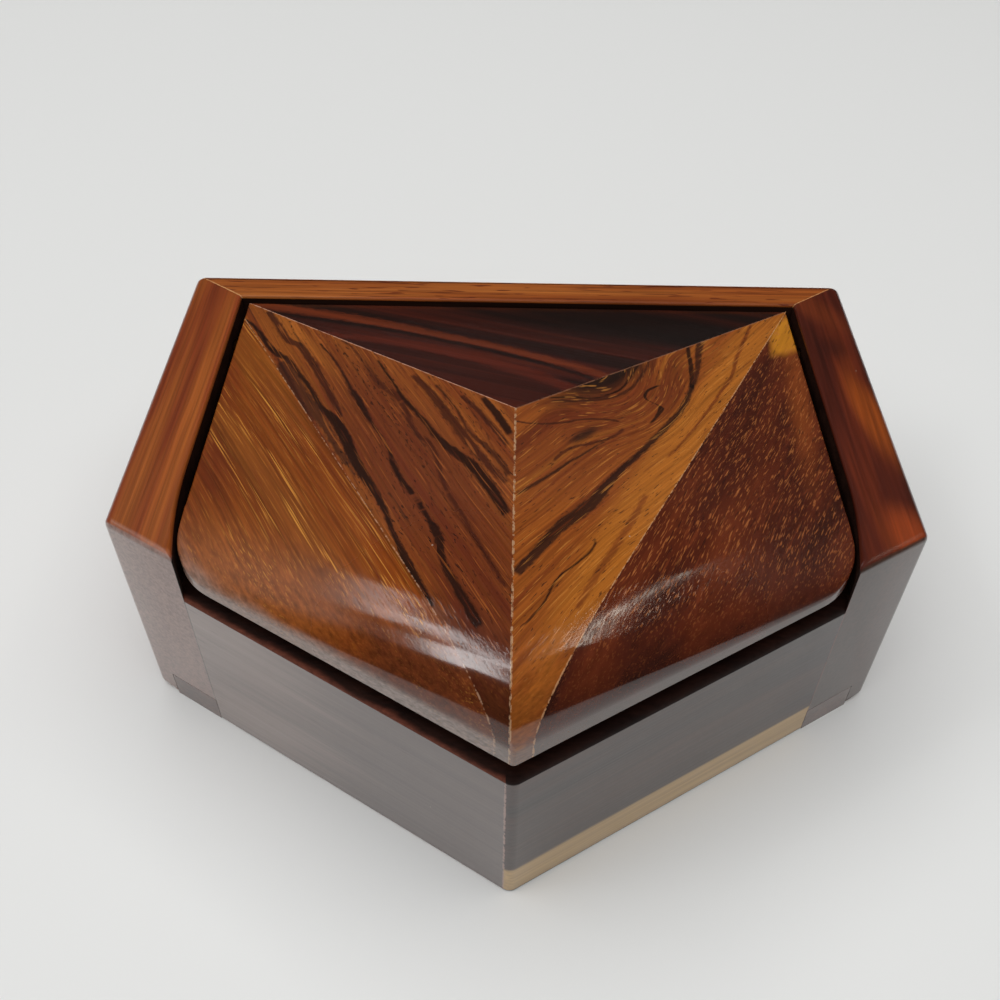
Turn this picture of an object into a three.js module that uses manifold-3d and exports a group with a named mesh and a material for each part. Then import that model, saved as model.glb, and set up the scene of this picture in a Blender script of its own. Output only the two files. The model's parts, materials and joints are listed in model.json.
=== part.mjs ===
// Five-sided wooden trinket box with a faceted lid that turns on two hidden pins.
// Millimetres, +Z up. The origin lies on the table under the middle of the box,
// and the pointed front faces -Y.
import * as THREE from 'three';
import { mergeVertices } from 'three/addons/utils/BufferGeometryUtils.js';
import Module from 'manifold-3d';

const wasm = await Module();
wasm.setup();

// Case: outside sizes
const width = 114;
const depth = 95;
const sideLength = 60.6;
const frontWallHeight = 30.5;
const cornerRadius = 1.7;
const topEase = 1.2;

// Case: walls and bottom
const sideWallThickness = 9;
const sideWallSwell = 2;
const sideWallSwellLength = 18;
const backWallThickness = 6.3;
const frontWallThickness = 8;
const tipJointOffset = 0.9;
const bottomThickness = 5;
const rabbetSkin = 3.2;

// Lid
const lidEdgeThickness = 6.6;
const wallAboveLid = 0.8;
const ridgeRise = 7.8;
const hipLength = 35;
const lidCornerRadius = 11;
const noseDepth = 11.5;
const noseHeight = 8.6;
const fingerGap = 3;
const lipReach = 5;
const seamFrontOffset = 2.3;

// Hinge pins
const pinDiameter = 2.5;
const pinDepthInLid = 8;
const pinSetback = 8.5;
const pinHeightShare = 0.5;

// Clearances
const lidSideGap = 1.3;
const lidBackGap = 0.85;
const lidRestGap = 0.3;
const pinHoleGap = 0.3;
const glueLine = 0.25;
const overrun = 20;

// Steps round each small arc, each long arc and each pin
const cornerSteps = 5;
const noseSteps = 10;
const pinSteps = 24;
const easeSteps = 3;
const easeRadiusShare = 0.9;

// Places worked out from the sizes
const halfWidth = width / 2;
const backY = depth / 2;
const tipY = -depth / 2;
const frontRise = depth - sideLength;
const frontLength = Math.hypot(halfWidth, frontRise);
const frontCos = halfWidth / frontLength;
const frontSin = frontRise / frontLength;

const innerX = halfWidth - sideWallThickness;
const innerBackY = backY - backWallThickness;
const jointX = innerX - sideWallSwell;

const lidUnderside = frontWallHeight + lidRestGap;
const lidEdgeTop = lidUnderside + lidEdgeThickness;
const wallHeight = lidEdgeTop + wallAboveLid;
const ridgeTop = lidEdgeTop + ridgeRise;
const lipUnderside = frontWallHeight + fingerGap;
const lidX = innerX - lidSideGap;
const lidBackY = innerBackY - lidBackGap;
const apexY = lidBackY - hipLength;
const roofSlope = ridgeRise / lidX;

const pinRadius = pinDiameter / 2;
const hingeY = lidBackY - pinSetback;
const hingeZ = lidUnderside + lidEdgeThickness * pinHeightShare;

const left = -1;
const right = 1;

// Y of the front face at a distance x from the middle, moved in by reach across the face
function frontY(x, reach = 0) {
  return tipY + (Math.abs(x) * frontSin + reach) / frontCos;
}

// Solid of a closed geometry
function toSolid(geometry) {
  geometry.deleteAttribute('normal');
  geometry.deleteAttribute('uv');
  const merged = mergeVertices(geometry);
  return new wasm.Manifold(new wasm.Mesh({
    numProp: 3,
    vertProperties: new Float32Array(merged.attributes.position.array),
    triVerts: new Uint32Array(merged.index.array),
  }));
}

// Geometry of a solid
function toGeometry(solid) {
  const mesh = solid.getMesh();
  const geometry = new THREE.BufferGeometry();
  geometry.setAttribute('position', new THREE.BufferAttribute(mesh.vertProperties, mesh.numProp));
  geometry.setIndex(new THREE.BufferAttribute(mesh.triVerts, 1));
  geometry.computeVertexNormals();
  return geometry;
}

// Outline through corners [x, y, radius], each rounded by its radius where it has one
function roundedShape(corners) {
  const shape = new THREE.Shape();
  corners.forEach(([x, y, radius = 0], i) => {
    const corner = new THREE.Vector2(x, y);
    const before = new THREE.Vector2(...corners.at(i - 1)).sub(corner).normalize();
    const after = new THREE.Vector2(...corners[(i + 1) % corners.length]).sub(corner).normalize();
    const halfAngle = before.angleTo(after) / 2;
    const tangent = radius / Math.tan(halfAngle);
    const start = corner.clone().addScaledVector(before, tangent);
    const end = corner.clone().addScaledVector(after, tangent);
    if (i === 0) {
      shape.moveTo(start.x, start.y);
    } else {
      shape.lineTo(start.x, start.y);
    }
    if (radius > 0) {
      shape.quadraticCurveTo(corner.x, corner.y, end.x, end.y);
    }
  });
  shape.closePath();
  return shape;
}

// Upright solid of an outline between two heights
function prism(corners, bottom, top) {
  const geometry = new THREE.ExtrudeGeometry(roundedShape(corners), {
    depth: top - bottom,
    bevelEnabled: false,
    curveSegments: cornerSteps,
  });
  geometry.translate(0, 0, bottom);
  return toSolid(geometry);
}

// Five-sided outline of the case, or of one moved in by inset on every face
function caseCorners(inset, radius) {
  const x = halfWidth - inset;
  return [
    [0, frontY(0, inset), radius],
    [x, frontY(x, inset), radius],
    [x, backY - inset, radius],
    [-x, backY - inset, radius],
    [-x, frontY(x, inset), radius],
  ];
}

// Outside shape of the case with its top edges eased; it runs past the table below
function caseEnvelope(top) {
  const ease = Math.min(topEase, cornerRadius * easeRadiusShare);
  const geometry = new THREE.ExtrudeGeometry(roundedShape(caseCorners(0, cornerRadius)), {
    depth: top + overrun - ease,
    bevelEnabled: true,
    bevelThickness: ease,
    bevelSize: ease,
    bevelOffset: -ease,
    bevelSegments: easeSteps,
    curveSegments: cornerSteps,
  });
  geometry.translate(0, 0, -overrun);
  return toSolid(geometry);
}

// Thin upright slab along a glued joint; both neighbours lose half of it
function glueJoint([ax, ay], [bx, by]) {
  const along = new THREE.Vector2(bx - ax, by - ay).normalize();
  const half = glueLine / 2;
  const sx = -along.y * half;
  const sy = along.x * half;
  const ex = along.x * overrun;
  const ey = along.y * overrun;
  const corners = [
    [ax - ex - sx, ay - ey - sy],
    [bx + ex - sx, by + ey - sy],
    [bx + ex + sx, by + ey + sy],
    [ax - ex + sx, ay - ey + sy],
  ];
  return prism(corners, -overrun, ridgeTop + overrun);
}

// Band behind both front faces, reach deep
function frontBand(reach, bottom, top) {
  const x = halfWidth + overrun;
  const corners = [
    [0, frontY(0) - overrun],
    [x, frontY(x) - overrun],
    [x, frontY(x, reach)],
    [0, frontY(0, reach)],
    [-x, frontY(x, reach)],
    [-x, frontY(x) - overrun],
  ];
  return prism(corners, bottom, top);
}

// Round bar along X
function barAlongX(radius, fromX, toX) {
  const geometry = new THREE.CylinderGeometry(radius, radius, toX - fromX, pinSteps);
  geometry.rotateZ(Math.PI / 2);
  geometry.translate((fromX + toX) / 2, hingeY, hingeZ);
  return toSolid(geometry);
}

// Hinge pin, or the hole for it when gap is above zero
function pinBar(side, gap) {
  const outer = side * (halfWidth + Math.sign(gap) * overrun);
  const inner = side * (lidX - pinDepthInLid - gap);
  return barAlongX(pinRadius + gap, Math.min(outer, inner), Math.max(outer, inner));
}

// Side wall in plan: mitred at the back, swelling inwards towards its front end
function sideWallBlock(side) {
  const shape = new THREE.Shape();
  const frontEnd = frontY(jointX);
  shape.moveTo(side * halfWidth, backY);
  shape.lineTo(side * innerX, innerBackY);
  shape.lineTo(side * innerX, frontEnd + sideWallSwellLength);
  shape.quadraticCurveTo(side * innerX, frontEnd + sideWallSwellLength / 2, side * jointX, frontEnd);
  shape.lineTo(side * jointX, frontEnd - overrun);
  shape.lineTo(side * (halfWidth + overrun), frontEnd - overrun);
  shape.lineTo(side * (halfWidth + overrun), backY + overrun * backWallThickness / sideWallThickness);
  const geometry = new THREE.ExtrudeGeometry(shape, {
    depth: wallHeight,
    bevelEnabled: false,
    curveSegments: cornerSteps,
  });
  return toSolid(geometry);
}

// Bottom panel, gap wider all round: it fills the rabbets, and its tongues run out
// through the front ends of the side walls
function bottomPanelBlock(gap) {
  const skinX = halfWidth - rabbetSkin + gap;
  const tongueX = jointX - gap;
  const inset = rabbetSkin - gap;
  const corners = [
    [0, frontY(0, inset)],
    [tongueX, frontY(tongueX, inset)],
    [tongueX, frontY(tongueX) - gap],
    [skinX, frontY(skinX) - gap],
    [skinX, backY - inset],
    [-skinX, backY - inset],
    [-skinX, frontY(skinX) - gap],
    [-tongueX, frontY(tongueX) - gap],
    [-tongueX, frontY(tongueX, inset)],
  ];
  return prism(corners, -Math.sign(gap) * overrun, bottomThickness + gap);
}

// Lid half below its roof: the roof falls sideways from the ridge, and the front edge is
// rounded over by an elliptical nose that follows the slope of the roof
function roofBlock(side) {
  const reach = width + depth;
  const noseStart = ridgeTop - noseHeight;
  const profile = new THREE.Shape();
  profile.moveTo(0, -overrun);
  profile.lineTo(0, noseStart);
  profile.absellipse(noseDepth, noseStart, noseDepth, noseHeight, Math.PI, Math.PI / 2, true);
  profile.lineTo(reach, ridgeTop);
  profile.lineTo(reach, -overrun);
  const geometry = new THREE.ExtrudeGeometry(profile, {
    depth: reach,
    bevelEnabled: false,
    curveSegments: noseSteps,
  });
  geometry.translate(0, 0, -reach / 2);
  const inward = new THREE.Vector3(-side * frontSin, frontCos, roofSlope * frontSin);
  const along = new THREE.Vector3(frontCos, side * frontSin, -side * roofSlope * frontCos);
  const placed = new THREE.Matrix4().makeBasis(inward, new THREE.Vector3(0, 0, 1), along);
  placed.setPosition(0, tipY, 0);
  geometry.applyMatrix4(placed);
  return toSolid(geometry);
}

// Lid blank in plan, with rounded front corners
function lidBlank() {
  return prism([
    [0, frontY(0)],
    [lidX, frontY(lidX), lidCornerRadius],
    [lidX, lidBackY],
    [-lidX, lidBackY],
    [-lidX, frontY(lidX), lidCornerRadius],
  ], lidUnderside, ridgeTop + overrun);
}

// Finger groove under the lid's front edge; behind it the lid rests on the front walls
function fingerGroove() {
  return frontBand(lipReach, lidUnderside - overrun, lipUnderside);
}

// Lid facet that falls from the apex to the back edge
function hipBlock() {
  const profile = new THREE.Shape();
  const fall = ridgeRise / hipLength;
  profile.moveTo(apexY - overrun, 0);
  profile.lineTo(lidBackY, 0);
  profile.lineTo(lidBackY, lidEdgeTop);
  profile.lineTo(apexY - overrun, ridgeTop + fall * overrun);
  const geometry = new THREE.ExtrudeGeometry(profile, { depth: width, bevelEnabled: false });
  const placed = new THREE.Matrix4().makeBasis(
    new THREE.Vector3(0, 1, 0),
    new THREE.Vector3(0, 0, 1),
    new THREE.Vector3(1, 0, 0),
  );
  placed.setPosition(-halfWidth, 0, 0);
  geometry.applyMatrix4(placed);
  return toSolid(geometry);
}

// Corner points of the lid boards on one side; meeting is where the seam would reach the middle,
// just in front of the tip
function seamPoints(side) {
  const backCorner = [side * lidX, lidBackY];
  const front = [side * seamFrontOffset, frontY(seamFrontOffset)];
  const seamRun = (lidBackY - front[1]) / (lidX - seamFrontOffset);
  const meeting = [0, front[1] - seamFrontOffset * seamRun];
  const apex = [0, apexY];
  return { backCorner, meeting, apex };
}

const group = new THREE.Group();
const lid = new THREE.Group();
lid.position.set(0, hingeY, hingeZ);
group.add(lid);

function finish(color, roughness, metalness = 0) {
  return new THREE.MeshStandardMaterial({ color, roughness, metalness });
}

function addCasePiece(name, solid, material) {
  const mesh = new THREE.Mesh(toGeometry(solid), material);
  mesh.name = name;
  group.add(mesh);
}

function addLidPiece(name, solid, material) {
  const geometry = toGeometry(solid);
  geometry.translate(0, -hingeY, -hingeZ);
  const mesh = new THREE.Mesh(geometry, material);
  mesh.name = name;
  lid.add(mesh);
}

// Case
const tallEnvelope = caseEnvelope(wallHeight);
const lowEnvelope = caseEnvelope(frontWallHeight);
const panelCut = bottomPanelBlock(glueLine);
const mitreJoints = [left, right].map((side) => (
  glueJoint([side * halfWidth, backY], [side * innerX, innerBackY])
));

function backWall() {
  const flare = overrun * sideWallThickness / backWallThickness;
  const block = prism([
    [-innerX, innerBackY],
    [innerX, innerBackY],
    [halfWidth, backY],
    [halfWidth + flare, backY + overrun],
    [-halfWidth - flare, backY + overrun],
    [-halfWidth, backY],
  ], 0, wallHeight);
  const trimmed = block.intersect(tallEnvelope).subtract(panelCut);
  return mitreJoints.reduce((wall, joint) => wall.subtract(joint), trimmed);
}

function sideWall(side) {
  const block = sideWallBlock(side).intersect(tallEnvelope).subtract(panelCut);
  const mitred = mitreJoints.reduce((wall, joint) => wall.subtract(joint), block);
  return mitred.subtract(pinBar(side, glueLine));
}

// Front wall: it ends against the inner face of its side wall, a glue line away
function frontWall(side) {
  const band = frontBand(frontWallThickness, 0, frontWallHeight);
  const jointAtTip = -tipJointOffset;
  const half = prism([
    [jointAtTip, tipY - overrun],
    [jointAtTip + side * width, tipY - overrun],
    [jointAtTip + side * width, backY],
    [jointAtTip, backY],
  ], 0, frontWallHeight);
  return band.intersect(half)
    .intersect(lowEnvelope)
    .subtract(glueJoint([jointAtTip, tipY], [jointAtTip, 0]))
    .subtract(sideWallBlock(side).translate(-side * glueLine, 0, 0))
    .subtract(panelCut);
}

addCasePiece('back_wall', backWall(), finish(0x9a4f1c, 0.38));
addCasePiece('left_side_wall', sideWall(left), finish(0x8a3f18, 0.38));
addCasePiece('right_side_wall', sideWall(right), finish(0x6e2b16, 0.38));
addCasePiece('left_front_wall', frontWall(left), finish(0x4a2d20, 0.38));
addCasePiece('right_front_wall', frontWall(right), finish(0x3d241b, 0.38));
addCasePiece('bottom_panel', bottomPanelBlock(0).intersect(tallEnvelope), finish(0x6b3a1e, 0.5));

[[left, 'left'], [right, 'right']].forEach(([side, word]) => {
  addCasePiece(`${word}_hinge_pin`, pinBar(side, 0), finish(0xb08d4a, 0.3, 1));
});

// Lid
const blank = lidBlank().subtract(fingerGroove());
const boardTop = ridgeTop + overrun;

function lidSeams(side) {
  const { backCorner, meeting, apex } = seamPoints(side);
  return [glueJoint(backCorner, meeting), glueJoint(apex, backCorner), glueJoint(meeting, apex)];
}

function lidBoard(side, corners) {
  const board = prism(corners, lidUnderside, boardTop).intersect(blank).intersect(roofBlock(side));
  const seamed = lidSeams(side).reduce((piece, seam) => piece.subtract(seam), board);
  return seamed.subtract(pinBar(side, pinHoleGap));
}

function outerBoard(side) {
  const { backCorner, meeting } = seamPoints(side);
  return lidBoard(side, [
    backCorner,
    meeting,
    [side * (lidX + overrun), tipY - overrun],
    [side * (lidX + overrun), lidBackY],
  ]);
}

function innerBoard(side) {
  const { backCorner, meeting, apex } = seamPoints(side);
  return lidBoard(side, [backCorner, apex, meeting]);
}

function backBoard() {
  const corners = [[0, apexY], [lidX, lidBackY], [-lidX, lidBackY]];
  const board = prism(corners, lidUnderside, boardTop).intersect(hipBlock());
  return [left, right].reduce((piece, side) => (
    piece.subtract(lidSeams(side)[1]).subtract(pinBar(side, pinHoleGap))
  ), board);
}

addLidPiece('lid_left_outer_board', outerBoard(left), finish(0xa35a1c, 0.3));
addLidPiece('lid_left_inner_board', innerBoard(left), finish(0x8a4318, 0.3));
addLidPiece('lid_right_inner_board', innerBoard(right), finish(0xa85c1a, 0.3));
addLidPiece('lid_right_outer_board', outerBoard(right), finish(0x5a2312, 0.3));
addLidPiece('lid_back_board', backBoard(), finish(0x2a1412, 0.35));

export default group;
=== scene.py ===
"""Five-sided wooden trinket box: boards, figured wood finishes, table, lamps and camera.

Sizes are in millimetres and finished meshes in metres. The origin lies on the table under
the middle of the box, and the pointed front faces -Y.
"""

import json
import logging
import math
from collections.abc import Callable, Iterable, Sequence
from dataclasses import dataclass
from enum import Enum

import bmesh
import bpy
from bmesh.types import BMEdge, BMesh, BMVert
from bpy.types import Material, Node, NodeSocket, NodeTree, Object
from mathutils import Matrix, Vector


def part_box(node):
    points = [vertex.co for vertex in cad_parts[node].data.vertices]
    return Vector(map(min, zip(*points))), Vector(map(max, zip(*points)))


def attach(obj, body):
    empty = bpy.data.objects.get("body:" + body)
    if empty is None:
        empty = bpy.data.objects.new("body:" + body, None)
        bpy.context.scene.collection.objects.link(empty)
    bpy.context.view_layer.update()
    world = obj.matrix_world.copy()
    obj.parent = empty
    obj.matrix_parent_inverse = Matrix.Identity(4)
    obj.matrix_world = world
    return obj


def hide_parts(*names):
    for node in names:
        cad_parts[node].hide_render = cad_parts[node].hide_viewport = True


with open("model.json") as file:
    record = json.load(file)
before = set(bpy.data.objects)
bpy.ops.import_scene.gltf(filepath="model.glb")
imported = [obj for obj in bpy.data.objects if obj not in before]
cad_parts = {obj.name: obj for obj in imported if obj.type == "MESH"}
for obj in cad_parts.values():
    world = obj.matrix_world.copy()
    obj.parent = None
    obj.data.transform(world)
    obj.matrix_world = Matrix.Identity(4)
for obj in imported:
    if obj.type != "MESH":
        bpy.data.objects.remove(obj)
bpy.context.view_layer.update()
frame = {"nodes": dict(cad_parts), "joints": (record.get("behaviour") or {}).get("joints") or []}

MM = 0.001
PER_METRE = 1000.0
OVERRUN = 20.0
CUT_TOLERANCE = 1e-4
JOINT_TOLERANCE = 2e-3
SHARP_ANGLE = math.radians(24)
FACING = 0.9
ROOF_HEIGHT = 40.0
WHITE = (1.0, 1.0, 1.0)
CREAM = (1.0, 0.92, 0.78)

Point = tuple[float, float]
Triple = tuple[float, float, float]
Color = tuple[int, int, int]
Value = float | NodeSocket

logging.basicConfig(level=logging.INFO, format="%(message)s")
log = logging.getLogger("trinket_box")


class Side(Enum):
    """Side of the box, with its sign along X."""

    LEFT = -1
    RIGHT = 1

    @property
    def word(self) -> str:
        """Name of the side in a piece's name."""
        return self.name.lower()


class Body(Enum):
    """Bodies of the frame that pieces ride on."""

    CASE = "case"
    LID = "lid"


# Sizes and outlines

def rounded_outline(corners: Sequence[tuple[float, ...]], steps: int) -> list[Point]:
    """Outline through corners, each rounded by its radius where it has one.

    Args:
        corners: Corners as (x, y) or (x, y, radius), in order round the outline.
        steps: Steps round each rounded corner.

    Returns:
        Points in plan.
    """
    points: list[Point] = []
    for index, (x, y, *rounding) in enumerate(corners):
        corner = Vector((x, y))
        radius = rounding[0] if rounding else 0.0
        if radius == 0.0:
            points.append((x, y))
            continue
        before = (Vector(corners[index - 1][:2]) - corner).normalized()
        after = (Vector(corners[(index + 1) % len(corners)][:2]) - corner).normalized()
        half_angle = before.angle(after) / 2
        centre = corner + (before + after).normalized() * (radius / math.sin(half_angle))
        start = corner + before * (radius / math.tan(half_angle)) - centre
        end = corner + after * (radius / math.tan(half_angle)) - centre
        turn = start.angle_signed(end)
        for step in range(steps + 1):
            spoke = Matrix.Rotation(-turn * step / steps, 2) @ start
            points.append(tuple(centre + spoke))
    return points


@dataclass(frozen=True)
class BoxSizes:
    """Sizes of the whole box, read from the frame where it holds them."""

    half_width: float
    back_y: float
    wall_top: float
    front_wall_top: float
    lid_x: float
    lid_back_y: float
    lid_underside: float
    hinge_y: float
    hinge_z: float
    side_length: float = 60.6
    corner_radius: float = 1.7
    side_wall: float = 9.0
    side_wall_swell: float = 2.0
    side_wall_swell_length: float = 18.0
    back_wall: float = 6.3
    front_wall: float = 8.0
    tip_joint_offset: float = 0.9
    bottom_thickness: float = 5.0
    rabbet_skin: float = 3.2
    glue_line: float = 0.25
    lid_edge: float = 6.6
    ridge_rise: float = 7.8
    hip_length: float = 36.3
    lid_corner_radius: float = 11.0
    lid_tip_radius: float = 0.8
    nose_depth: float = 11.5
    nose_height: float = 8.6
    nose_fall: float = 0.035
    ridge_x: float = -0.55
    apex_x: float = -0.25
    finger_gap: float = 3.0
    lip_reach: float = 5.0
    seam_front_offset: float = 2.3
    left_seam_setback: float = 4.4
    pin_radius: float = 1.25
    pin_depth_in_lid: float = 8.0
    pin_hole_gap: float = 0.3

    @classmethod
    def from_frame(cls) -> "BoxSizes":
        """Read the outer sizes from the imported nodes.

        Returns:
            The sizes in millimetres.
        """
        side_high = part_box("right_side_wall")[1] * PER_METRE
        board_low, board_high = (corner * PER_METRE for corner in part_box("lid_back_board"))
        outer_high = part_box("lid_right_outer_board")[1] * PER_METRE
        hinge = Vector(frame["joints"][0]["pos_m"]) * PER_METRE
        return cls(
            half_width=side_high.x,
            back_y=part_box("back_wall")[1].y * PER_METRE,
            wall_top=side_high.z,
            front_wall_top=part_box("left_front_wall")[1].z * PER_METRE,
            lid_x=outer_high.x, lid_back_y=board_high.y, lid_underside=board_low.z, hinge_y=hinge.y,
            hinge_z=hinge.z,
        )

    @property
    def tip_y(self) -> float:
        """Front tip of the case."""
        return -self.back_y

    @property
    def front_rise(self) -> float:
        """Distance along Y from the tip to the front shoulders."""
        return 2 * self.back_y - self.side_length

    @property
    def front_cos(self) -> float:
        """Share of X in the direction of a front face."""
        return self.half_width / math.hypot(self.half_width, self.front_rise)

    @property
    def front_sin(self) -> float:
        """Share of Y in the direction of a front face."""
        return self.front_rise / math.hypot(self.half_width, self.front_rise)

    @property
    def inner_x(self) -> float:
        """Inner face of a side wall."""
        return self.half_width - self.side_wall

    @property
    def inner_back_y(self) -> float:
        """Inner face of the back wall."""
        return self.back_y - self.back_wall

    @property
    def joint_x(self) -> float:
        """Inner face of a side wall at its front end."""
        return self.inner_x - self.side_wall_swell

    @property
    def lid_edge_top(self) -> float:
        """Top of the lid's edge at its back corners."""
        return self.lid_underside + self.lid_edge

    @property
    def ridge_top(self) -> float:
        """Height of the lid's ridge."""
        return self.lid_edge_top + self.ridge_rise

    @property
    def apex_y(self) -> float:
        """Back end of the lid's ridge."""
        return self.lid_back_y - self.hip_length

    def roof_height(self, side: Side, x: float) -> float:
        """Height of the lid's sloping top behind the nose.

        Args:
            side: Side of the lid.
            x: Place along X.

        Returns:
            The height.
        """
        slope = self.ridge_rise / (self.lid_x - side.value * self.ridge_x)
        return self.ridge_top - slope * side.value * (x - self.ridge_x)

    def nose_height_at(self, side: Side, x: float, depth: float) -> float:
        """Height of the rounded nose.

        Args:
            side: Side of the lid.
            x: Place along X.
            depth: Distance behind the front face.

        Returns:
            The height of the surface.
        """
        roof = self.roof_height(side, x)
        start = self.ridge_top - self.nose_height - self.nose_fall * side.value * x
        gone = max(0.0, 1 - depth / self.nose_depth)
        return start + (roof - start) * math.sqrt(1 - gone ** 2)

    def front_y(self, x: float, reach: float = 0.0) -> float:
        """Y of the front face.

        Args:
            x: Distance from the middle.
            reach: How far behind the face, square to it.

        Returns:
            The face's Y at that distance.
        """
        return self.tip_y + (abs(x) * self.front_sin + reach) / self.front_cos

    def behind_front(self, point: Vector) -> float:
        """How far a point is behind its front face, square to it."""
        return (point.y - self.tip_y) * self.front_cos - abs(point.x) * self.front_sin

    def outline(self, half_width: float, back_y: float, radii: Triple, steps: int) -> list[Point]:
        """Five-sided outline with rounded corners, counterclockwise.

        Args:
            half_width: Its side, from the middle.
            back_y: Its back.
            radii: How round its tip, its front shoulders and its back corners are.
            steps: Steps round each rounded corner.

        Returns:
            Points in plan.
        """
        shoulder = self.front_y(half_width)
        return rounded_outline([
            (0.0, self.tip_y, radii[0]),
            (half_width, shoulder, radii[1]),
            (half_width, back_y, radii[2]),
            (-half_width, back_y, radii[2]),
            (-half_width, shoulder, radii[1]),
        ], steps)

    def swell_curve(self, side: Side, steps: int = 8) -> list[Point]:
        """Inner face of a side wall, from its front end to where it runs straight.

        Args:
            side: Side of the wall.
            steps: Number of steps along the curve.

        Returns:
            Points in plan.
        """
        front_end = self.front_y(self.joint_x)
        points = []
        for step in range(steps + 1):
            share = step / steps
            x = self.joint_x + self.side_wall_swell * (1 - (1 - share) ** 2)
            points.append((side.value * x, front_end + share * self.side_wall_swell_length))
        return points


@dataclass(frozen=True)
class JointPlane:
    """An upright plane through two points in plan, where two boards are glued."""

    start: Point
    end: Point

    def point(self) -> Vector:
        """A point on the plane."""
        return Vector((*self.start, 0.0))

    def normal(self) -> Vector:
        """Unit normal, to the right of the way from start to end."""
        way = Vector(self.end) - Vector(self.start)
        return Vector((way.y, -way.x, 0.0)).normalized()

    def holds(self, vert: BMVert) -> bool:
        """Whether a vertex lies on the plane."""
        return abs((vert.co - self.point()).dot(self.normal())) < JOINT_TOLERANCE


# Mesh tools

def plan_face(points: Sequence[Point], height: float) -> BMesh:
    """Start a piece from one flat face.

    Args:
        points: Outline in plan.
        height: Height of the face.

    Returns:
        A mesh with that face.
    """
    bm = bmesh.new()
    bm.faces.new([bm.verts.new((x, y, height)) for x, y in points])
    return bm


def pull_solid(bm: BMesh, path: Vector) -> None:
    """Extrude a flat face into a closed solid.

    Args:
        bm: Mesh that holds the face alone.
        path: Way that the face is pulled.
    """
    grown = bmesh.ops.extrude_face_region(bm, geom=bm.faces[:])
    moved = [item for item in grown["geom"] if isinstance(item, BMVert)]
    bmesh.ops.translate(bm, verts=moved, vec=path)
    bmesh.ops.recalc_face_normals(bm, faces=bm.faces[:])


def saw(bm: BMesh, point: Vector, normal: Vector) -> None:
    """Cut with a plane, drop what lies beyond it and close the cut.

    Args:
        bm: A flat face or a convex solid.
        point: A point on the plane.
        normal: Direction of the waste side.
    """
    cut = bmesh.ops.bisect_plane(
        bm, geom=bm.verts[:] + bm.edges[:] + bm.faces[:], dist=CUT_TOLERANCE, plane_co=point,
        plane_no=normal, clear_outer=True,
    )
    open_edges = [
        item for item in cut["geom_cut"] if isinstance(item, BMEdge) and item.is_boundary
    ]
    if len(open_edges) > 2:
        bmesh.ops.edgenet_fill(bm, edges=open_edges)


def saw_joint(bm: BMesh, joint: JointPlane, waste: int) -> None:
    """Saw at a joint and drop what lies to one side of it.

    Args:
        bm: A flat face or a convex solid.
        joint: Where to saw.
        waste: Side that is dropped: 1 for the joint's right, -1 for its left.
    """
    saw(bm, joint.point(), waste * joint.normal())


def trim_to_outline(bm: BMesh, outline: Sequence[Point]) -> None:
    """Saw away what lies outside a convex outline, given counterclockwise.

    Args:
        bm: A flat face or a convex solid.
        outline: Points in plan.
    """
    for index, point in enumerate(outline):
        saw_joint(bm, JointPlane(outline[index - 1], point), 1)


def prism(points: Sequence[Point], bottom: float, top: float) -> BMesh:
    """Upright solid of an outline between two heights.

    Args:
        points: Outline in plan.
        bottom: Lowest height.
        top: Highest height.

    Returns:
        The closed solid.
    """
    bm = plan_face(points, bottom)
    pull_solid(bm, Vector((0.0, 0.0, top - bottom)))
    return bm


def round_bar(
    radius: float, from_x: float, to_x: float, y: float, z: float, segments: int = 48,
) -> BMesh:
    """Round bar along X.

    Args:
        radius: Its radius.
        from_x: One end.
        to_x: The other end.
        y: Place of its axis along Y.
        z: Height of its axis.
        segments: Sides round it.

    Returns:
        The closed solid.
    """
    bm = bmesh.new()
    placed = Matrix.Translation(((from_x + to_x) / 2, y, z)) @ Matrix.Rotation(math.pi / 2, 4, "Y")
    bmesh.ops.create_cone(
        bm, cap_ends=True, segments=segments, radius1=radius, radius2=radius,
        depth=abs(to_x - from_x),
        matrix=placed,
    )
    return bm


def loose_object(bm: BMesh, name: str) -> Object:
    """Object with a copy of a mesh, in the scene.

    Args:
        bm: The mesh.
        name: Name of the object.

    Returns:
        The new object.
    """
    mesh = bpy.data.meshes.new(name)
    bm.to_mesh(mesh)
    made = bpy.data.objects.new(name, mesh)
    bpy.context.scene.collection.objects.link(made)
    return made


def carve(bm: BMesh, cutter: BMesh) -> None:
    """Take a cutter out of a solid; the cutter is used up.

    Args:
        bm: The solid, changed in place.
        cutter: The solid to take away.
    """
    stock = loose_object(bm, "stock")
    tool = loose_object(cutter, "tool")
    cutter.free()
    modifier = stock.modifiers.new("carve", "BOOLEAN")
    modifier.operation = "DIFFERENCE"
    modifier.solver = "EXACT"
    modifier.object = tool
    shaped = stock.evaluated_get(bpy.context.evaluated_depsgraph_get())
    result = bpy.data.meshes.new_from_object(shaped)
    bm.clear()
    bm.from_mesh(result)
    for item in (stock, tool):
        spent = item.data
        bpy.data.objects.remove(item)
        bpy.data.meshes.remove(spent)
    bpy.data.meshes.remove(result)


def edge_middle(edge: BMEdge) -> Vector:
    """Middle of an edge."""
    return (edge.verts[0].co + edge.verts[1].co) / 2


def lies_in_joint(edge: BMEdge, joints: Sequence[JointPlane]) -> bool:
    """Whether an edge lies in one of some joints."""
    return any(all(joint.holds(vert) for vert in edge.verts) for joint in joints)


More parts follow.
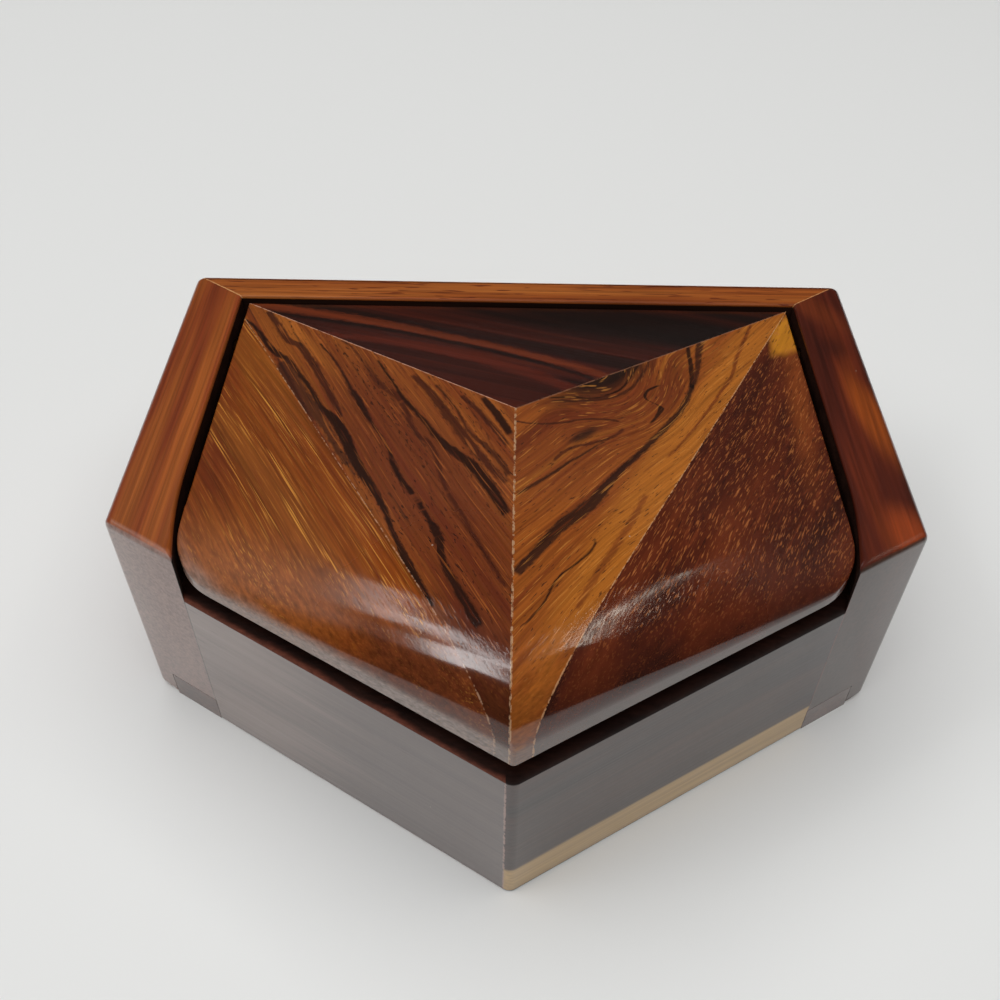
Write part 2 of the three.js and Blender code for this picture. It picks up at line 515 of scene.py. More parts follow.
def finish_piece(
    bm: BMesh, name: str, ease: Callable[[BMEdge], float], segments: int = 4,
) -> Object:
    """Turn a solid into its object, with softened edges.

    Args:
        bm: Closed solid in millimetres, used up.
        name: Name of the piece.
        ease: Gives the width, in millimetres, by which a sharp edge is softened.
        segments: Steps across each softened edge.

    Returns:
        The finished object, at the origin, in metres.
    """
    bmesh.ops.remove_doubles(bm, verts=bm.verts[:], dist=CUT_TOLERANCE)
    bmesh.ops.recalc_face_normals(bm, faces=bm.faces[:])
    bm.normal_update()
    weights = bm.edges.layers.float.new("bevel_weight_edge")
    sharp_edges = [edge for edge in bm.edges if edge.calc_face_angle(0.0) > SHARP_ANGLE]
    widths = {edge: ease(edge) for edge in sharp_edges}
    widest = max(widths.values())
    for edge, width in widths.items():
        edge[weights] = width / widest
        edge.smooth = width > 0.0
    for face in bm.faces:
        face.smooth = True
    bmesh.ops.scale(bm, verts=bm.verts[:], vec=Vector((MM, MM, MM)))
    made = loose_object(bm, name)
    bm.free()
    bevel = made.modifiers.new("eased_edges", "BEVEL")
    bevel.limit_method = "WEIGHT"
    bevel.width = widest * MM
    bevel.segments = segments
    bevel.profile = 0.5
    bevel.use_clamp_overlap = False
    shading = made.modifiers.new("even_shading", "WEIGHTED_NORMAL")
    shading.keep_sharp = True
    return made


# Node tools

def linear(color: Color) -> tuple[float, float, float, float]:
    """Scene-linear colour of a display colour.

    Args:
        color: Red, green and blue from 0 to 255.

    Returns:
        Red, green, blue and alpha for a socket.
    """
    channels = []
    for channel in color:
        share = channel / 255
        low = share <= 0.04045
        channels.append(share / 12.92 if low else ((share + 0.055) / 1.055) ** 2.4)
    return (*channels, 1.0)


class Graph:
    """Short calls that add nodes to a tree and join them."""

    def __init__(self, tree: NodeTree) -> None:
        """Work on a tree."""
        self.tree = tree

    def node(self, kind: str, values: dict | Sequence = (), **settings: object) -> Node:
        """Add a node and feed its sockets.

        Args:
            kind: Node type, without the ShaderNode at its start.
            values: What to feed its inputs, in order or by name.
            settings: Properties to set.

        Returns:
            The node.
        """
        made = self.tree.nodes.new("ShaderNode" + kind)
        for key, value in settings.items():
            setattr(made, key, value)
        self.feed_all(made, values)
        return made

    def feed_all(self, node: Node, values: dict | Sequence) -> None:
        """Feed a node's inputs, in order or by name."""
        for key, value in values.items() if isinstance(values, dict) else enumerate(values):
            self.feed(node.inputs[key], value)

    def feed(self, socket: NodeSocket, value: object) -> None:
        """Set a socket to a value, or link another socket to it.

        Args:
            socket: Socket to feed.
            value: Plain value, or an output socket.
        """
        if isinstance(value, NodeSocket):
            self.tree.links.new(value, socket)
        else:
            socket.default_value = value

    def math(self, operation: str, *values: Value) -> NodeSocket:
        """Result of a Math node on one to three values."""
        return self.node("Math", values, operation=operation).outputs[0]

    def vector_math(self, operation: str, first: object, second: object) -> Node:
        """Vector Math node on two vectors."""
        return self.node("VectorMath", (first, second), operation=operation)

    def gap(self, first: object, second: object) -> NodeSocket:
        """Distance between two places."""
        return self.vector_math("DISTANCE", first, second).outputs["Value"]

    def shift(self, vector: NodeSocket, origin: object) -> NodeSocket:
        """Vector from an origin to a place."""
        return self.vector_math("SUBTRACT", vector, origin).outputs["Vector"]

    def scale(self, vector: NodeSocket, factor: float) -> NodeSocket:
        """Vector made longer by a factor."""
        return self.vector_math("MULTIPLY", vector, (factor, factor, factor)).outputs["Vector"]

    def turn(self, vector: NodeSocket, angles: Triple) -> NodeSocket:
        """Vector turned by angles about X, Y and Z."""
        return self.node("Mapping", {"Vector": vector, "Rotation": angles}).outputs["Vector"]

    def place(self) -> NodeSocket:
        """Place on the object, in millimetres."""
        return self.scale(self.node("TexCoord").outputs["Object"], PER_METRE)

    def dot(self, vector: NodeSocket, direction: object) -> NodeSocket:
        """Length of a vector along a direction."""
        return self.vector_math("DOT_PRODUCT", vector, direction).outputs["Value"]

    def combine(self, *values: Value) -> NodeSocket:
        """Vector of an X, a Y and a Z."""
        return self.node("CombineXYZ", values).outputs[0]

    def separate(self, vector: NodeSocket) -> tuple[NodeSocket, NodeSocket, NodeSocket]:
        """The X, Y and Z of a vector."""
        return tuple(self.node("SeparateXYZ", (vector,)).outputs)

    def map_range(
        self, value: Value, low: Value, high: Value, to_low: Value = 0.0, to_high: Value = 1.0,
        smooth: bool = True,
    ) -> NodeSocket:
        """Map a value from one range onto another, clamped.

        Args:
            value: Value to map.
            low: Start of its range.
            high: End of its range.
            to_low: Result at the start.
            to_high: Result at the end.
            smooth: Whether the change eases in and out.

        Returns:
            The mapped value.
        """
        style = "SMOOTHSTEP" if smooth else "LINEAR"
        values = (value, low, high, to_low, to_high)
        return self.node("MapRange", values, interpolation_type=style).outputs[0]

    def around(self, value: Value, middle: Value, reach: Value, rising: bool = True) -> NodeSocket:
        """Soft step from 0 to 1, or back, round a middle value.

        Args:
            value: Value to step on.
            middle: Where the step is half done.
            reach: Half the width of the step.
            rising: Whether it rises with the value.

        Returns:
            The step's height.
        """
        low, high = (self.math(way, middle, reach) for way in ("SUBTRACT", "ADD"))
        return self.map_range(value, low, high, *((0.0, 1.0) if rising else (1.0, 0.0)))

    def noise(self, vector: NodeSocket, detail: float = 2.0, roughness: float = 0.5) -> NodeSocket:
        """Noise from 0 to 1 whose features are about one unit across."""
        values = {"Vector": vector, "Scale": 1.0, "Detail": detail, "Roughness": roughness}
        return self.node("TexNoise", values).outputs[0]

    def centred_noise(self, vector: NodeSocket, detail: float = 2.0, roughness: float = 0.5) -> NodeSocket:
        """The same noise, round zero."""
        return self.math("SUBTRACT", self.noise(vector, detail, roughness), 0.5)

    def ramp(self, value: NodeSocket, stops: Sequence[tuple[float, Color]]) -> NodeSocket:
        """Colour of a value along a row of colour stops.

        Args:
            value: Value from 0 to 1.
            stops: Places and colours.

        Returns:
            The colour.
        """
        made = self.node("ValToRGB", (value,))
        elements = made.color_ramp.elements
        while len(elements) < len(stops):
            elements.new(0.5)
        for element, (position, color) in zip(elements, stops):
            element.position = position
            element.color = linear(color)
        return made.outputs["Color"]

    def curve(self, value: NodeSocket, points: Sequence[Point]) -> NodeSocket:
        """Value read off a smooth curve.

        Args:
            value: Value from 0 to 1.
            points: Points of the curve, from 0 to 1 both ways.

        Returns:
            The curve's height there.
        """
        made = self.node("FloatCurve", {"Value": value})
        line = made.mapping.curves[0]
        while len(line.points) < len(points):
            line.points.new(0.5, 0.5)
        for dot, place in zip(line.points, points):
            dot.location = place
        made.mapping.update()
        return made.outputs[0]

    def mix(self, factor: Value, first: object, second: object, blend: str = "MIX") -> NodeSocket:
        """Colour between two colours, or one blended onto the other.

        Args:
            factor: Share of the second colour.
            first: First colour.
            second: Second colour.
            blend: Name of the blend.

        Returns:
            The colour.
        """
        made = self.node("Mix", (factor,), data_type="RGBA", blend_type=blend)
        colors = (socket for socket in made.inputs if socket.type == "RGBA")
        for socket, value in zip(colors, (first, second)):
            self.feed(socket, value)
        return next(socket for socket in made.outputs if socket.type == "RGBA")

    def group(self, tree: NodeTree, **values: object) -> dict[str, NodeSocket]:
        """Place a node group with its inputs, and give its outputs by name."""
        made = self.node("Group", node_tree=tree)
        self.feed_all(made, values)
        return {socket.name: socket for socket in made.outputs}


class Kind(Enum):
    """Kinds of node group sockets."""

    VALUE = "NodeSocketFloat"
    VECTOR = "NodeSocketVector"


def new_group(
    name: str, vectors: Sequence[str], values: Sequence[str], outputs: Sequence[str],
) -> tuple[Graph, dict[str, NodeSocket], Node]:
    """Start a shader node group.

    Args:
        name: Name of the group.
        vectors: Names of its inputs that are vectors.
        values: Names of its inputs that are values.
        outputs: Names of its outputs, which are values.

    Returns:
        The graph to build in, the inputs by name, and the output node.
    """
    tree = bpy.data.node_groups.new(name, "ShaderNodeTree")
    rows = ((vectors, "INPUT", Kind.VECTOR), (values, "INPUT", Kind.VALUE), (outputs, "OUTPUT", Kind.VALUE))
    for names, way, kind in rows:
        for key in names:
            tree.interface.new_socket(key, in_out=way, socket_type=kind.value)
    source = tree.nodes.new("NodeGroupInput")
    sink = tree.nodes.new("NodeGroupOutput")
    return Graph(tree), {socket.name: socket for socket in source.outputs if socket.name}, sink


def new_material(name: str) -> tuple[Material, Graph, Node]:
    """Start a material.

    Args:
        name: Its name.

    Returns:
        The material, its graph and its main shader.
    """
    material = bpy.data.materials.new(name)
    material.use_nodes = True
    return material, Graph(material.node_tree), material.node_tree.nodes["Principled BSDF"]


@dataclass(frozen=True)
class WoodEffects:
    """Shader effects that every wood finish shares."""

    fibre: NodeTree
    dashes: NodeTree
    vein: NodeTree
    seam: NodeTree
    polish: NodeTree
    dust: NodeTree

    @classmethod
    def build(cls) -> "WoodEffects":
        """Build each group once."""
        return cls(**{name: builder() for name, builder in EFFECT_BUILDERS.items()})


def build_fibre_group() -> NodeTree:
    """Long lines along the grain, coarse and fine.

    Returns:
        A group that turns grain coordinates into the values Lines and Hairs.
    """
    graph, given, sink = new_group(
        "wood_fibre", ("Grain",), ("Period", "Length", "Seed"), ("Lines", "Hairs"),
    )
    hairs_per_line = 7.0
    hairs_per_length = 2.0
    along, across, depth = graph.separate(given["Grain"])
    run = graph.math("DIVIDE", along, given["Length"])
    over, under = (graph.math("DIVIDE", way, given["Period"]) for way in (across, depth))
    coarse = graph.combine(graph.math("ADD", run, given["Seed"]), over, under)
    graph.feed(sink.inputs["Lines"], graph.noise(coarse, detail=3.0, roughness=0.55))
    fine = graph.combine(
        graph.math("MULTIPLY", run, hairs_per_length),
        *(graph.math("MULTIPLY", way, hairs_per_line) for way in (over, under)),
    )
    graph.feed(sink.inputs["Hairs"], graph.noise(fine, detail=2.0, roughness=0.6))
    return graph.tree


def build_dashes_group() -> NodeTree:
    """Short marks along the grain: pores, flecks and streaks.

    Returns:
        A group that turns grain coordinates into the value Mask.
    """
    graph, given, sink = new_group(
        "wood_dashes", ("Grain",), ("Length", "Width", "Cover", "Edge", "Seed"), ("Mask",),
    )
    bare_level = 0.78
    cover_share = 0.42
    along, across, depth = graph.separate(given["Grain"])
    place = graph.combine(
        graph.math("ADD", graph.math("DIVIDE", along, given["Length"]), given["Seed"]),
        *(graph.math("DIVIDE", way, given["Width"]) for way in (across, depth)),
    )
    value = graph.noise(place, detail=1.0, roughness=0.4)
    low = graph.math("SUBTRACT", bare_level, graph.math("MULTIPLY", given["Cover"], cover_share))
    high = graph.math("ADD", low, given["Edge"])
    graph.feed(sink.inputs["Mask"], graph.map_range(value, low, high))
    return graph.tree


def build_vein_group() -> NodeTree:
    """A single line in the figure that wanders, swells, frays and breaks up.

    Returns:
        A group that turns the place beside the line into the value Mask.
    """
    names = ("Along", "Offset", "Length", "Width", "Fray", "Wobble", "Gaps", "Seed")
    graph, given, sink = new_group("wood_vein", (), names, ("Mask",))
    sway_scale, fringe_scale, bead_scale = (0.22, 0.9, 0.45)
    fringe_scale_across = 3.5
    bead_seed = 7.3
    taper = 0.8
    bead_softness = 0.06
    fray_share, least_softness = (0.25, 0.06)
    gap_share, least_gap = (0.5, 0.1)
    slow, quick, beads = (
        graph.math("MULTIPLY", given["Along"], scale)
        for scale in (sway_scale, fringe_scale, bead_scale)
    )
    sway = graph.centred_noise(graph.combine(slow, given["Seed"], 0.0))
    beside = graph.math("MULTIPLY", given["Offset"], fringe_scale_across)
    fringe = graph.centred_noise(graph.combine(quick, beside, given["Seed"]), roughness=0.6)
    moved = graph.math("MULTIPLY_ADD", sway, given["Wobble"], given["Offset"])
    frayed = graph.math("MULTIPLY_ADD", fringe, given["Fray"], graph.math("ABSOLUTE", moved))
    half = graph.math("MULTIPLY", given["Width"], 0.5)
    softness = graph.math("MULTIPLY_ADD", given["Fray"], fray_share, least_softness)
    body = graph.around(frayed, half, softness, rising=False)
    left = graph.math("SUBTRACT", given["Length"], given["Along"])
    ends = graph.math(
        "MULTIPLY", *(graph.map_range(way, 0.0, taper) for way in (given["Along"], left)),
    )
    level = graph.math("MULTIPLY_ADD", given["Gaps"], gap_share, least_gap)
    bead = graph.noise(graph.combine(beads, bead_seed, given["Seed"]))
    solid = graph.around(bead, level, bead_softness)
    mask = graph.math("MULTIPLY", graph.math("MULTIPLY", body, ends), solid)
    graph.feed(sink.inputs["Mask"], mask)
    return graph.tree


def build_seam_group() -> NodeTree:
    """The thin pale line where two boards are glued.

    Returns:
        A group that turns a place into the value Mask.
    """
    graph, given, sink = new_group(
        "glue_seam", ("Place", "Point", "Normal"), ("Width", "Gaps"), ("Mask",),
    )
    grit_scale = 1.4
    grit_levels = (0.3, 0.7)
    width_shares = (0.5, 1.3)
    solid_share = 0.6
    worn_softness = 0.08
    distance = graph.dot(graph.shift(given["Place"], given["Point"]), given["Normal"])
    value = graph.noise(graph.scale(given["Place"], grit_scale), detail=3.0, roughness=0.65)
    swelling = graph.map_range(value, *grit_levels, *width_shares)
    reach = graph.math("MULTIPLY", given["Width"], swelling)
    solid = graph.math("MULTIPLY", reach, solid_share)
    line = graph.map_range(graph.math("ABSOLUTE", distance), solid, reach, 1.0, 0.0)
    worn = graph.around(value, given["Gaps"], worn_softness)
    graph.feed(sink.inputs["Mask"], graph.math("MULTIPLY", line, worn))
    return graph.tree


def build_polish_group() -> NodeTree:
    """Roughness of a hand-rubbed finish.

    Returns:
        A group that turns a place into the value Roughness.
    """
    graph, given, sink = new_group(
        "rubbed_polish", ("Place",), ("Level", "Spread"), ("Roughness",),
    )
    smear_scale, grit_scale = (0.09, 1.1)
    grit_share = 0.6
    smears, grit = (
        graph.centred_noise(graph.scale(given["Place"], scale), detail=3.0)
        for scale in (smear_scale, grit_scale)
    )
    both = graph.math("MULTIPLY_ADD", grit, grit_share, smears)
    level = graph.math("MULTIPLY_ADD", both, given["Spread"], given["Level"])
    graph.feed(sink.inputs["Roughness"], level)
    return graph.tree


def build_dust_group() -> NodeTree:
    """Few small pale specks.

    Returns:
        A group that turns a place into the value Mask.
    """
    graph, given, sink = new_group("dust_specks", ("Place",), ("Spacing", "Size"), ("Mask",))
    chosen_low, chosen_high = (0.7, 0.74)
    share = graph.math("DIVIDE", 1.0, given["Spacing"])
    scaled = graph.node("VectorMath", {"Vector": given["Place"], "Scale": share}, operation="SCALE")
    cells = graph.node("TexVoronoi", {"Vector": scaled.outputs[0], "Scale": 1.0}, feature="F1")
    spread = graph.math("DIVIDE", given["Size"], given["Spacing"])
    core = graph.math("MULTIPLY", spread, 0.5)
    speck = graph.map_range(cells.outputs["Distance"], core, spread, 1.0, 0.0)
    tint = graph.node("SeparateColor", (cells.outputs["Color"],))
    kept = graph.map_range(tint.outputs[0], chosen_low, chosen_high)
    graph.feed(sink.inputs["Mask"], graph.math("MULTIPLY", speck, kept))
    return graph.tree


EFFECT_BUILDERS = {
    "fibre": build_fibre_group,
    "dashes": build_dashes_group,
    "vein": build_vein_group,
    "seam": build_seam_group,
    "polish": build_polish_group,
    "dust": build_dust_group,
}


# Figure of the wood

@dataclass(frozen=True)
class Board:
    """What the layers of one board's material share.

    The place is in millimetres, and the warp is a value round zero that frays edges.
    """

    graph: Graph
    effects: WoodEffects
    place: NodeSocket
    warp: NodeSocket


class Layer:
    """A mark of one colour on a board."""

    color: Color
    strength: float

    def mask(self, board: Board) -> NodeSocket:
        """Where the mark lies, from 0 to 1."""
        raise NotImplementedError

    def lay(self, board: Board, under: NodeSocket) -> NodeSocket:
        """Lay the mark over a colour."""
        cover = board.graph.math("MULTIPLY", self.mask(board), self.strength)
        return board.graph.mix(cover, under, linear(self.color))


@dataclass(frozen=True)
class Vein(Layer):
    """A line in the figure through given points, with its width at each of them."""

    path: tuple[Triple, ...]
    color: Color
    strength: float = 0.9
    fray: float = 0.5
    wobble: float = 0.6
    gaps: float = 0.0
    bow_margin: float = 1.0

    def mask(self, board: Board) -> NodeSocket:
        """Where the vein lies.

        Args:
            board: The board.

        Returns:
            The mask.
        """
        graph = board.graph
        start = Vector((*self.path[0][:2], 0.0))
        run = Vector((*self.path[-1][:2], 0.0)) - start
        along = run.normalized()
        across = Vector((-along.y, along.x, 0.0))
        stations = []
        for x, y, width in self.path:
            step = Vector((x, y, 0.0)) - start
            stations.append((step.dot(along) / run.length, step.dot(across), width))
        reach = max(abs(bow) for _, bow, _ in stations) + self.bow_margin
        widest = max(width for _, _, width in stations)
        centred = graph.shift(board.place, start)
        distance = graph.dot(centred, along)
        share = graph.math("DIVIDE", distance, run.length)
        bow = graph.curve(share, [(at, 0.5 + bend / (2 * reach)) for at, bend, _ in stations])
        middle = graph.math("MULTIPLY", graph.math("SUBTRACT", bow, 0.5), 2 * reach)
        swelling = graph.curve(share, [(at, wide / widest) for at, _, wide in stations])
        return graph.group(
            board.effects.vein, Along=distance,
            Offset=graph.math("SUBTRACT", graph.dot(centred, across), middle),
            Length=run.length,
            Width=graph.math("MULTIPLY", swelling, widest),
            Fray=self.fray, Wobble=self.wobble, Gaps=self.gaps,
            Seed=self.path[0][0] + self.path[0][1],
        )["Mask"]


@dataclass(frozen=True)
class Zone(Layer):
    """A soft-edged oval of another colour, longer along its direction."""

    centre: Point
    length: float
    width: float
    angle: float
    color: Color
    strength: float = 0.7
    softness: float = 0.5

    def mask(self, board: Board) -> NodeSocket:
        """Where the zone lies.

        Args:
            board: The board.

        Returns:
            The mask.
        """
        graph = board.graph
        turn = math.radians(self.angle)
        along = (math.cos(turn) / self.length, math.sin(turn) / self.length, 0.0)
        across = (-math.sin(turn) / self.width, math.cos(turn) / self.width, 0.0)
        centred = graph.shift(board.place, (*self.centre, 0.0))
        oval = graph.combine(graph.dot(centred, along), graph.dot(centred, across), 0.0)
        frayed = graph.math("ADD", graph.gap(oval, (0.0, 0.0, 0.0)), board.warp)
        return graph.map_range(frayed, 1.0 - self.softness, 1.0 + self.softness, 1.0, 0.0)


@dataclass(frozen=True)
class Seam(Layer):
    """A glued joint that shows as a thin line."""

    joint: JointPlane
    color: Color
    width: float
    gaps: float
    strength: float

    def mask(self, board: Board) -> NodeSocket:
        """Where the seam lies.

        Args:
            board: The board.

        Returns:
            The mask.
        """
        return board.graph.group(
            board.effects.seam, Place=board.place,
            Point=self.joint.point(),
            Normal=self.joint.normal(),
            Width=self.width, Gaps=self.gaps,
        )["Mask"]


@dataclass(frozen=True)
class HeightBand(Layer):
    """A band of another colour below a height on an upright face."""

    top: float
    slope: float
    color: Color
    strength: float = 0.9
    softness: float = 0.35
    fray: float = 1.2

    def mask(self, board: Board) -> NodeSocket:
        """Where the band lies.

        Args:
            board: The board.

        Returns:
            The mask.
        """
        graph = board.graph
        x, _, z = graph.separate(board.place)
        edge = graph.math("MULTIPLY_ADD", x, self.slope, self.top)
        above = graph.math("SUBTRACT", graph.math("MULTIPLY_ADD", board.warp, self.fray, z), edge)
        return graph.map_range(above, -self.softness, self.softness, 1.0, 0.0)


@dataclass(frozen=True)
class EndFace(Layer):
    """Another colour on a face that lies in a plane, used for a painted reflection on a side wall's front
    end.
    """

    plane: JointPlane
    color: Color
    depth: float = 0.5
    strength: float = 0.9

    def mask(self, board: Board) -> NodeSocket:
        """Where the face lies.

        Args:
            board: The board.

        Returns:
            The mask.
        """
        graph = board.graph
        away = graph.shift(board.place, self.plane.point())
        distance = graph.math("ABSOLUTE", graph.dot(away, self.plane.normal()))
        return graph.map_range(distance, 0.5 * self.depth, self.depth, 1.0, 0.0)


@dataclass(frozen=True)
class Dust(Layer):
    """Few small pale specks."""

    color: Color = (205, 190, 175)
    spacing: float = 5.0
    size: float = 0.16
    strength: float = 0.45

    def mask(self, board: Board) -> NodeSocket:
        """Where the specks lie."""
        specks = {"Place": board.place, "Spacing": self.spacing, "Size": self.size}
        return board.graph.group(board.effects.dust, **specks)["Mask"]


@dataclass(frozen=True)
class Swirl:
    """A knot-like rise in the figure that turns its lines into loops."""

    centre: Point
    radius: float
    lift: float


@dataclass(frozen=True)
class Dashes:
    """Short marks along the grain, gathered in patches where they clump."""

    color: Color
    length: float
    width: float
    cover: float
    strength: float
    edge: float = 0.08
    clump: float = 0.0
    patch_length: float = 26.0
    patch_width: float = 3.4
    patch_seed: float = 4.3
    patch_levels: Point = (0.44, 0.62)

    def mask(self, board: Board, grain: NodeSocket, seed: float, order: float) -> NodeSocket:
        """Where the marks lie.

        Args:
            board: The board.
            grain: Grain coordinates.
            seed: Seed of the board.
            order: What sets these marks apart from others of the board.

        Returns:
            The mask.
        """
        graph = board.graph
        mask = graph.group(
            board.effects.dashes, Grain=grain, Length=self.length, Width=self.width,
            Cover=self.cover, Edge=self.edge, Seed=seed + order,
        )["Mask"]
        if self.clump == 0.0:
            return mask
        along, across, _ = graph.separate(grain)
        scaled = graph.combine(
            graph.math("DIVIDE", along, self.patch_length),
            graph.math("DIVIDE", across, self.patch_width),
            seed + self.patch_seed,
        )
        patches = graph.map_range(graph.noise(scaled), *self.patch_levels, 1.0 - self.clump, 1.0)
        return graph.math("MULTIPLY", mask, patches)


@dataclass(frozen=True)
class WoodFinish:
    """One board's wood: its figure, its marks and its polish.

    The slope is the rise of the board's top along X and Y.
    """

    name: str
    grain_angle: float
    stops: tuple[tuple[float, Color], ...]
    grain_tilt: float = 12.0
    slope: Point = (0.0, 0.0)
    top_level: float | None = None
    # Painted shade: the colour is darkened to this factor down the rounded nose.
    nose_tone: float = 0.8
    nose_marks: float = 0.4
    nose_tone_drops: Point = (4.5, 0.8)
    nose_marks_drop: float = 2.4
    period: float = 3.0
    length: float = 90.0
    wander: float = 2.0
    wander_scale: float = 28.0
    wander_stretch: float = 2.2
    hair_contrast: float = 0.35
    hair_levels: Point = (0.25, 0.75)
    zone_fray: float = 1.2
    swirls: tuple[Swirl, ...] = ()
    zones: tuple[Zone, ...] = ()
    veins: tuple[Vein, ...] = ()
    marks: tuple[Dashes, ...] = ()
    mark_seed_step: float = 3.7
    seams: tuple[Seam, ...] = ()
    # The band is either real, such as sapwood, or a painted reflection or painted lit rim.
    band: HeightBand | None = None
    # Painted reflection on the front end of a side wall.
    painted_end_reflection: EndFace | None = None
    roughness: float = 0.4
    roughness_spread: float = 0.1
    gloss_spot: Point | None = None
    gloss_reach: float = 26.0
    gloss_core: float = 0.4
    gloss_roughness: float = 0.14
    specular: float = 0.5
    coat: float = 1.0
    coat_roughness: float = 0.11
    bump: float = 0.12
    bump_depth: float = 0.2 * MM
    tone: float = 0.75
    seed: float = 0.0

    def build(self, effects: WoodEffects) -> Material:
        """Build the material.

        Args:
            effects: Shared groups.

        Returns:
            The finished material.
        """
        material, graph, shader = new_material(self.name + "_finish")
        place = graph.place()
        x, y, height = graph.separate(place)
        for way, slope in zip((x, y), self.slope):
            height = graph.math("MULTIPLY_ADD", way, -slope, height)
        level = graph.combine(x, y, height)
        turned = graph.turn(level, (0.0, 0.0, -math.radians(self.grain_angle)))
        tilted = graph.turn(turned, (-math.radians(self.grain_tilt), 0.0, 0.0))
        grain = self._warped(graph, place, tilted)
        fibre = graph.group(
            effects.fibre, Grain=grain, Period=self.period, Length=self.length, Seed=self.seed,
        )
        warp = graph.math("MULTIPLY", graph.math("SUBTRACT", fibre["Lines"], 0.5), self.zone_fray)
        board = Board(graph, effects, place, warp)
        color = graph.ramp(fibre["Lines"], self.stops)
        # The band and the end face may paint a reflection or light onto the board.
        singles = [layer for layer in (self.band, self.painted_end_reflection) if layer is not None]
        for layer in (*self.zones, *singles, *self.veins):
            color = layer.lay(board, color)
        # Painted shade down the nose, and fainter marks there.
        nose_tone, nose_marks = self._nose(graph, height)
        contrast = self.hair_contrast
        hairs = fibre["Hairs"]
        shade = graph.map_range(hairs, *self.hair_levels, 1.0 - contrast, 1.0 + contrast, False)
        toned = graph.math("MULTIPLY", graph.math("MULTIPLY", shade, self.tone), nose_tone)
        color = graph.mix(1.0, color, graph.combine(toned, toned, toned), "MULTIPLY")
        relief = hairs
        for index, dashes in enumerate(self.marks, 1):
            mask = dashes.mask(board, grain, self.seed, self.mark_seed_step * index)
            mask = graph.math("MULTIPLY", mask, nose_marks)
            color = graph.mix(graph.math("MULTIPLY", mask, dashes.strength), color, linear(dashes.color))
            relief = graph.math("SUBTRACT", relief, mask)
        for layer in (*self.seams, Dust()):
            color = layer.lay(board, color)
        level = self._roughness_level(graph, place)
        polish = graph.group(effects.polish, Place=place, Level=level, Spread=self.roughness_spread)
        bump = graph.node("Bump", {
            "Strength": graph.math("MULTIPLY", nose_marks, self.bump),
            "Distance": self.bump_depth,
            "Height": relief,
        })
        graph.feed_all(shader, {
            "Base Color": color,
            "Roughness": polish["Roughness"],
            "Specular IOR Level": self.specular,
            "Coat Weight": self.coat,
            "Coat Roughness": self.coat_roughness,
            "Normal": bump.outputs["Normal"],
        })
        return material

    def _nose(self, graph: Graph, height: NodeSocket) -> tuple[Value, Value]:
        """Painted shade and strength of marks: full on the flat top, lower down the rounded nose.

        Args:
            graph: Graph of the material.
            height: Height, measured as if the sloping top were level.

        Returns:
            The painted shade factor and the strength of marks.
        """
        if self.top_level is None:
            return 1.0, 1.0
        low, high = (self.top_level - drop for drop in self.nose_tone_drops)
        bend = self.top_level - self.nose_marks_drop
        return (
            graph.map_range(height, low, high, self.nose_tone, 1.0),
            graph.map_range(height, bend, self.top_level, self.nose_marks, 1.0),
        )

    def _roughness_level(self, graph: Graph, place: NodeSocket) -> Value:
        """Mean roughness, lower round the spot that is polished brightest.

        Args:
            graph: Graph of the material.
            place: Place in millimetres.

        Returns:
            The mean roughness.
        """
        if self.gloss_spot is None:
            return self.roughness
        gap = graph.gap(place, (*self.gloss_spot, ROOF_HEIGHT))
        core = self.gloss_core * self.gloss_reach
        return graph.map_range(gap, core, self.gloss_reach, self.gloss_roughness, self.roughness)

    def _warped(self, graph: Graph, place: NodeSocket, straight: NodeSocket) -> NodeSocket:
        """Bend straight grain coordinates by the wander and the swirls.

        Args:
            graph: Graph of the material.
            place: Place in millimetres.
            straight: Grain coordinates along, across and into the board.

        Returns:
            The bent grain coordinates.
        """
        along, across, depth = graph.separate(straight)
        scaled = graph.combine(
            graph.math("DIVIDE", along, self.wander_stretch * self.wander_scale),
            graph.math("DIVIDE", across, self.wander_scale),
            self.seed,
        )
        across = graph.math("MULTIPLY_ADD", graph.centred_noise(scaled), 2 * self.wander, across)
        for swirl in self.swirls:
            gap = graph.gap(place, (*swirl.centre, ROOF_HEIGHT))
            rise = graph.map_range(gap, 0.0, swirl.radius, swirl.lift, 0.0)
            across = graph.math("ADD", across, rise)
        return graph.combine(along, across, depth)


@dataclass(frozen=True)
class BrassFinish:
    """Turned brass rod, a little tarnished."""

    name: str = "pin_brass"
    color: Color = (196, 158, 92)
    tarnish_color: Color = (150, 108, 58)
    tarnish_levels: Point = (0.25, 0.4)
    roughness: float = 0.32
    roughness_spread: float = 0.25

    def build(self, effects: WoodEffects) -> Material:
        """Build the material.

        Args:
            effects: Shared groups.

        Returns:
            The finished material.
        """
        material, graph, shader = new_material(self.name + "_finish")
        settings = {"Level": self.roughness, "Spread": self.roughness_spread}
        polish = graph.group(effects.polish, Place=graph.place(), **settings)["Roughness"]
        tarnish = graph.map_range(polish, *self.tarnish_levels)
        color = graph.mix(tarnish, linear(self.color), linear(self.tarnish_color))
        graph.feed_all(shader, {"Metallic": 1.0, "Base Color": color, "Roughness": polish})
        return material


# Lid joints, shared by meshes and finishes

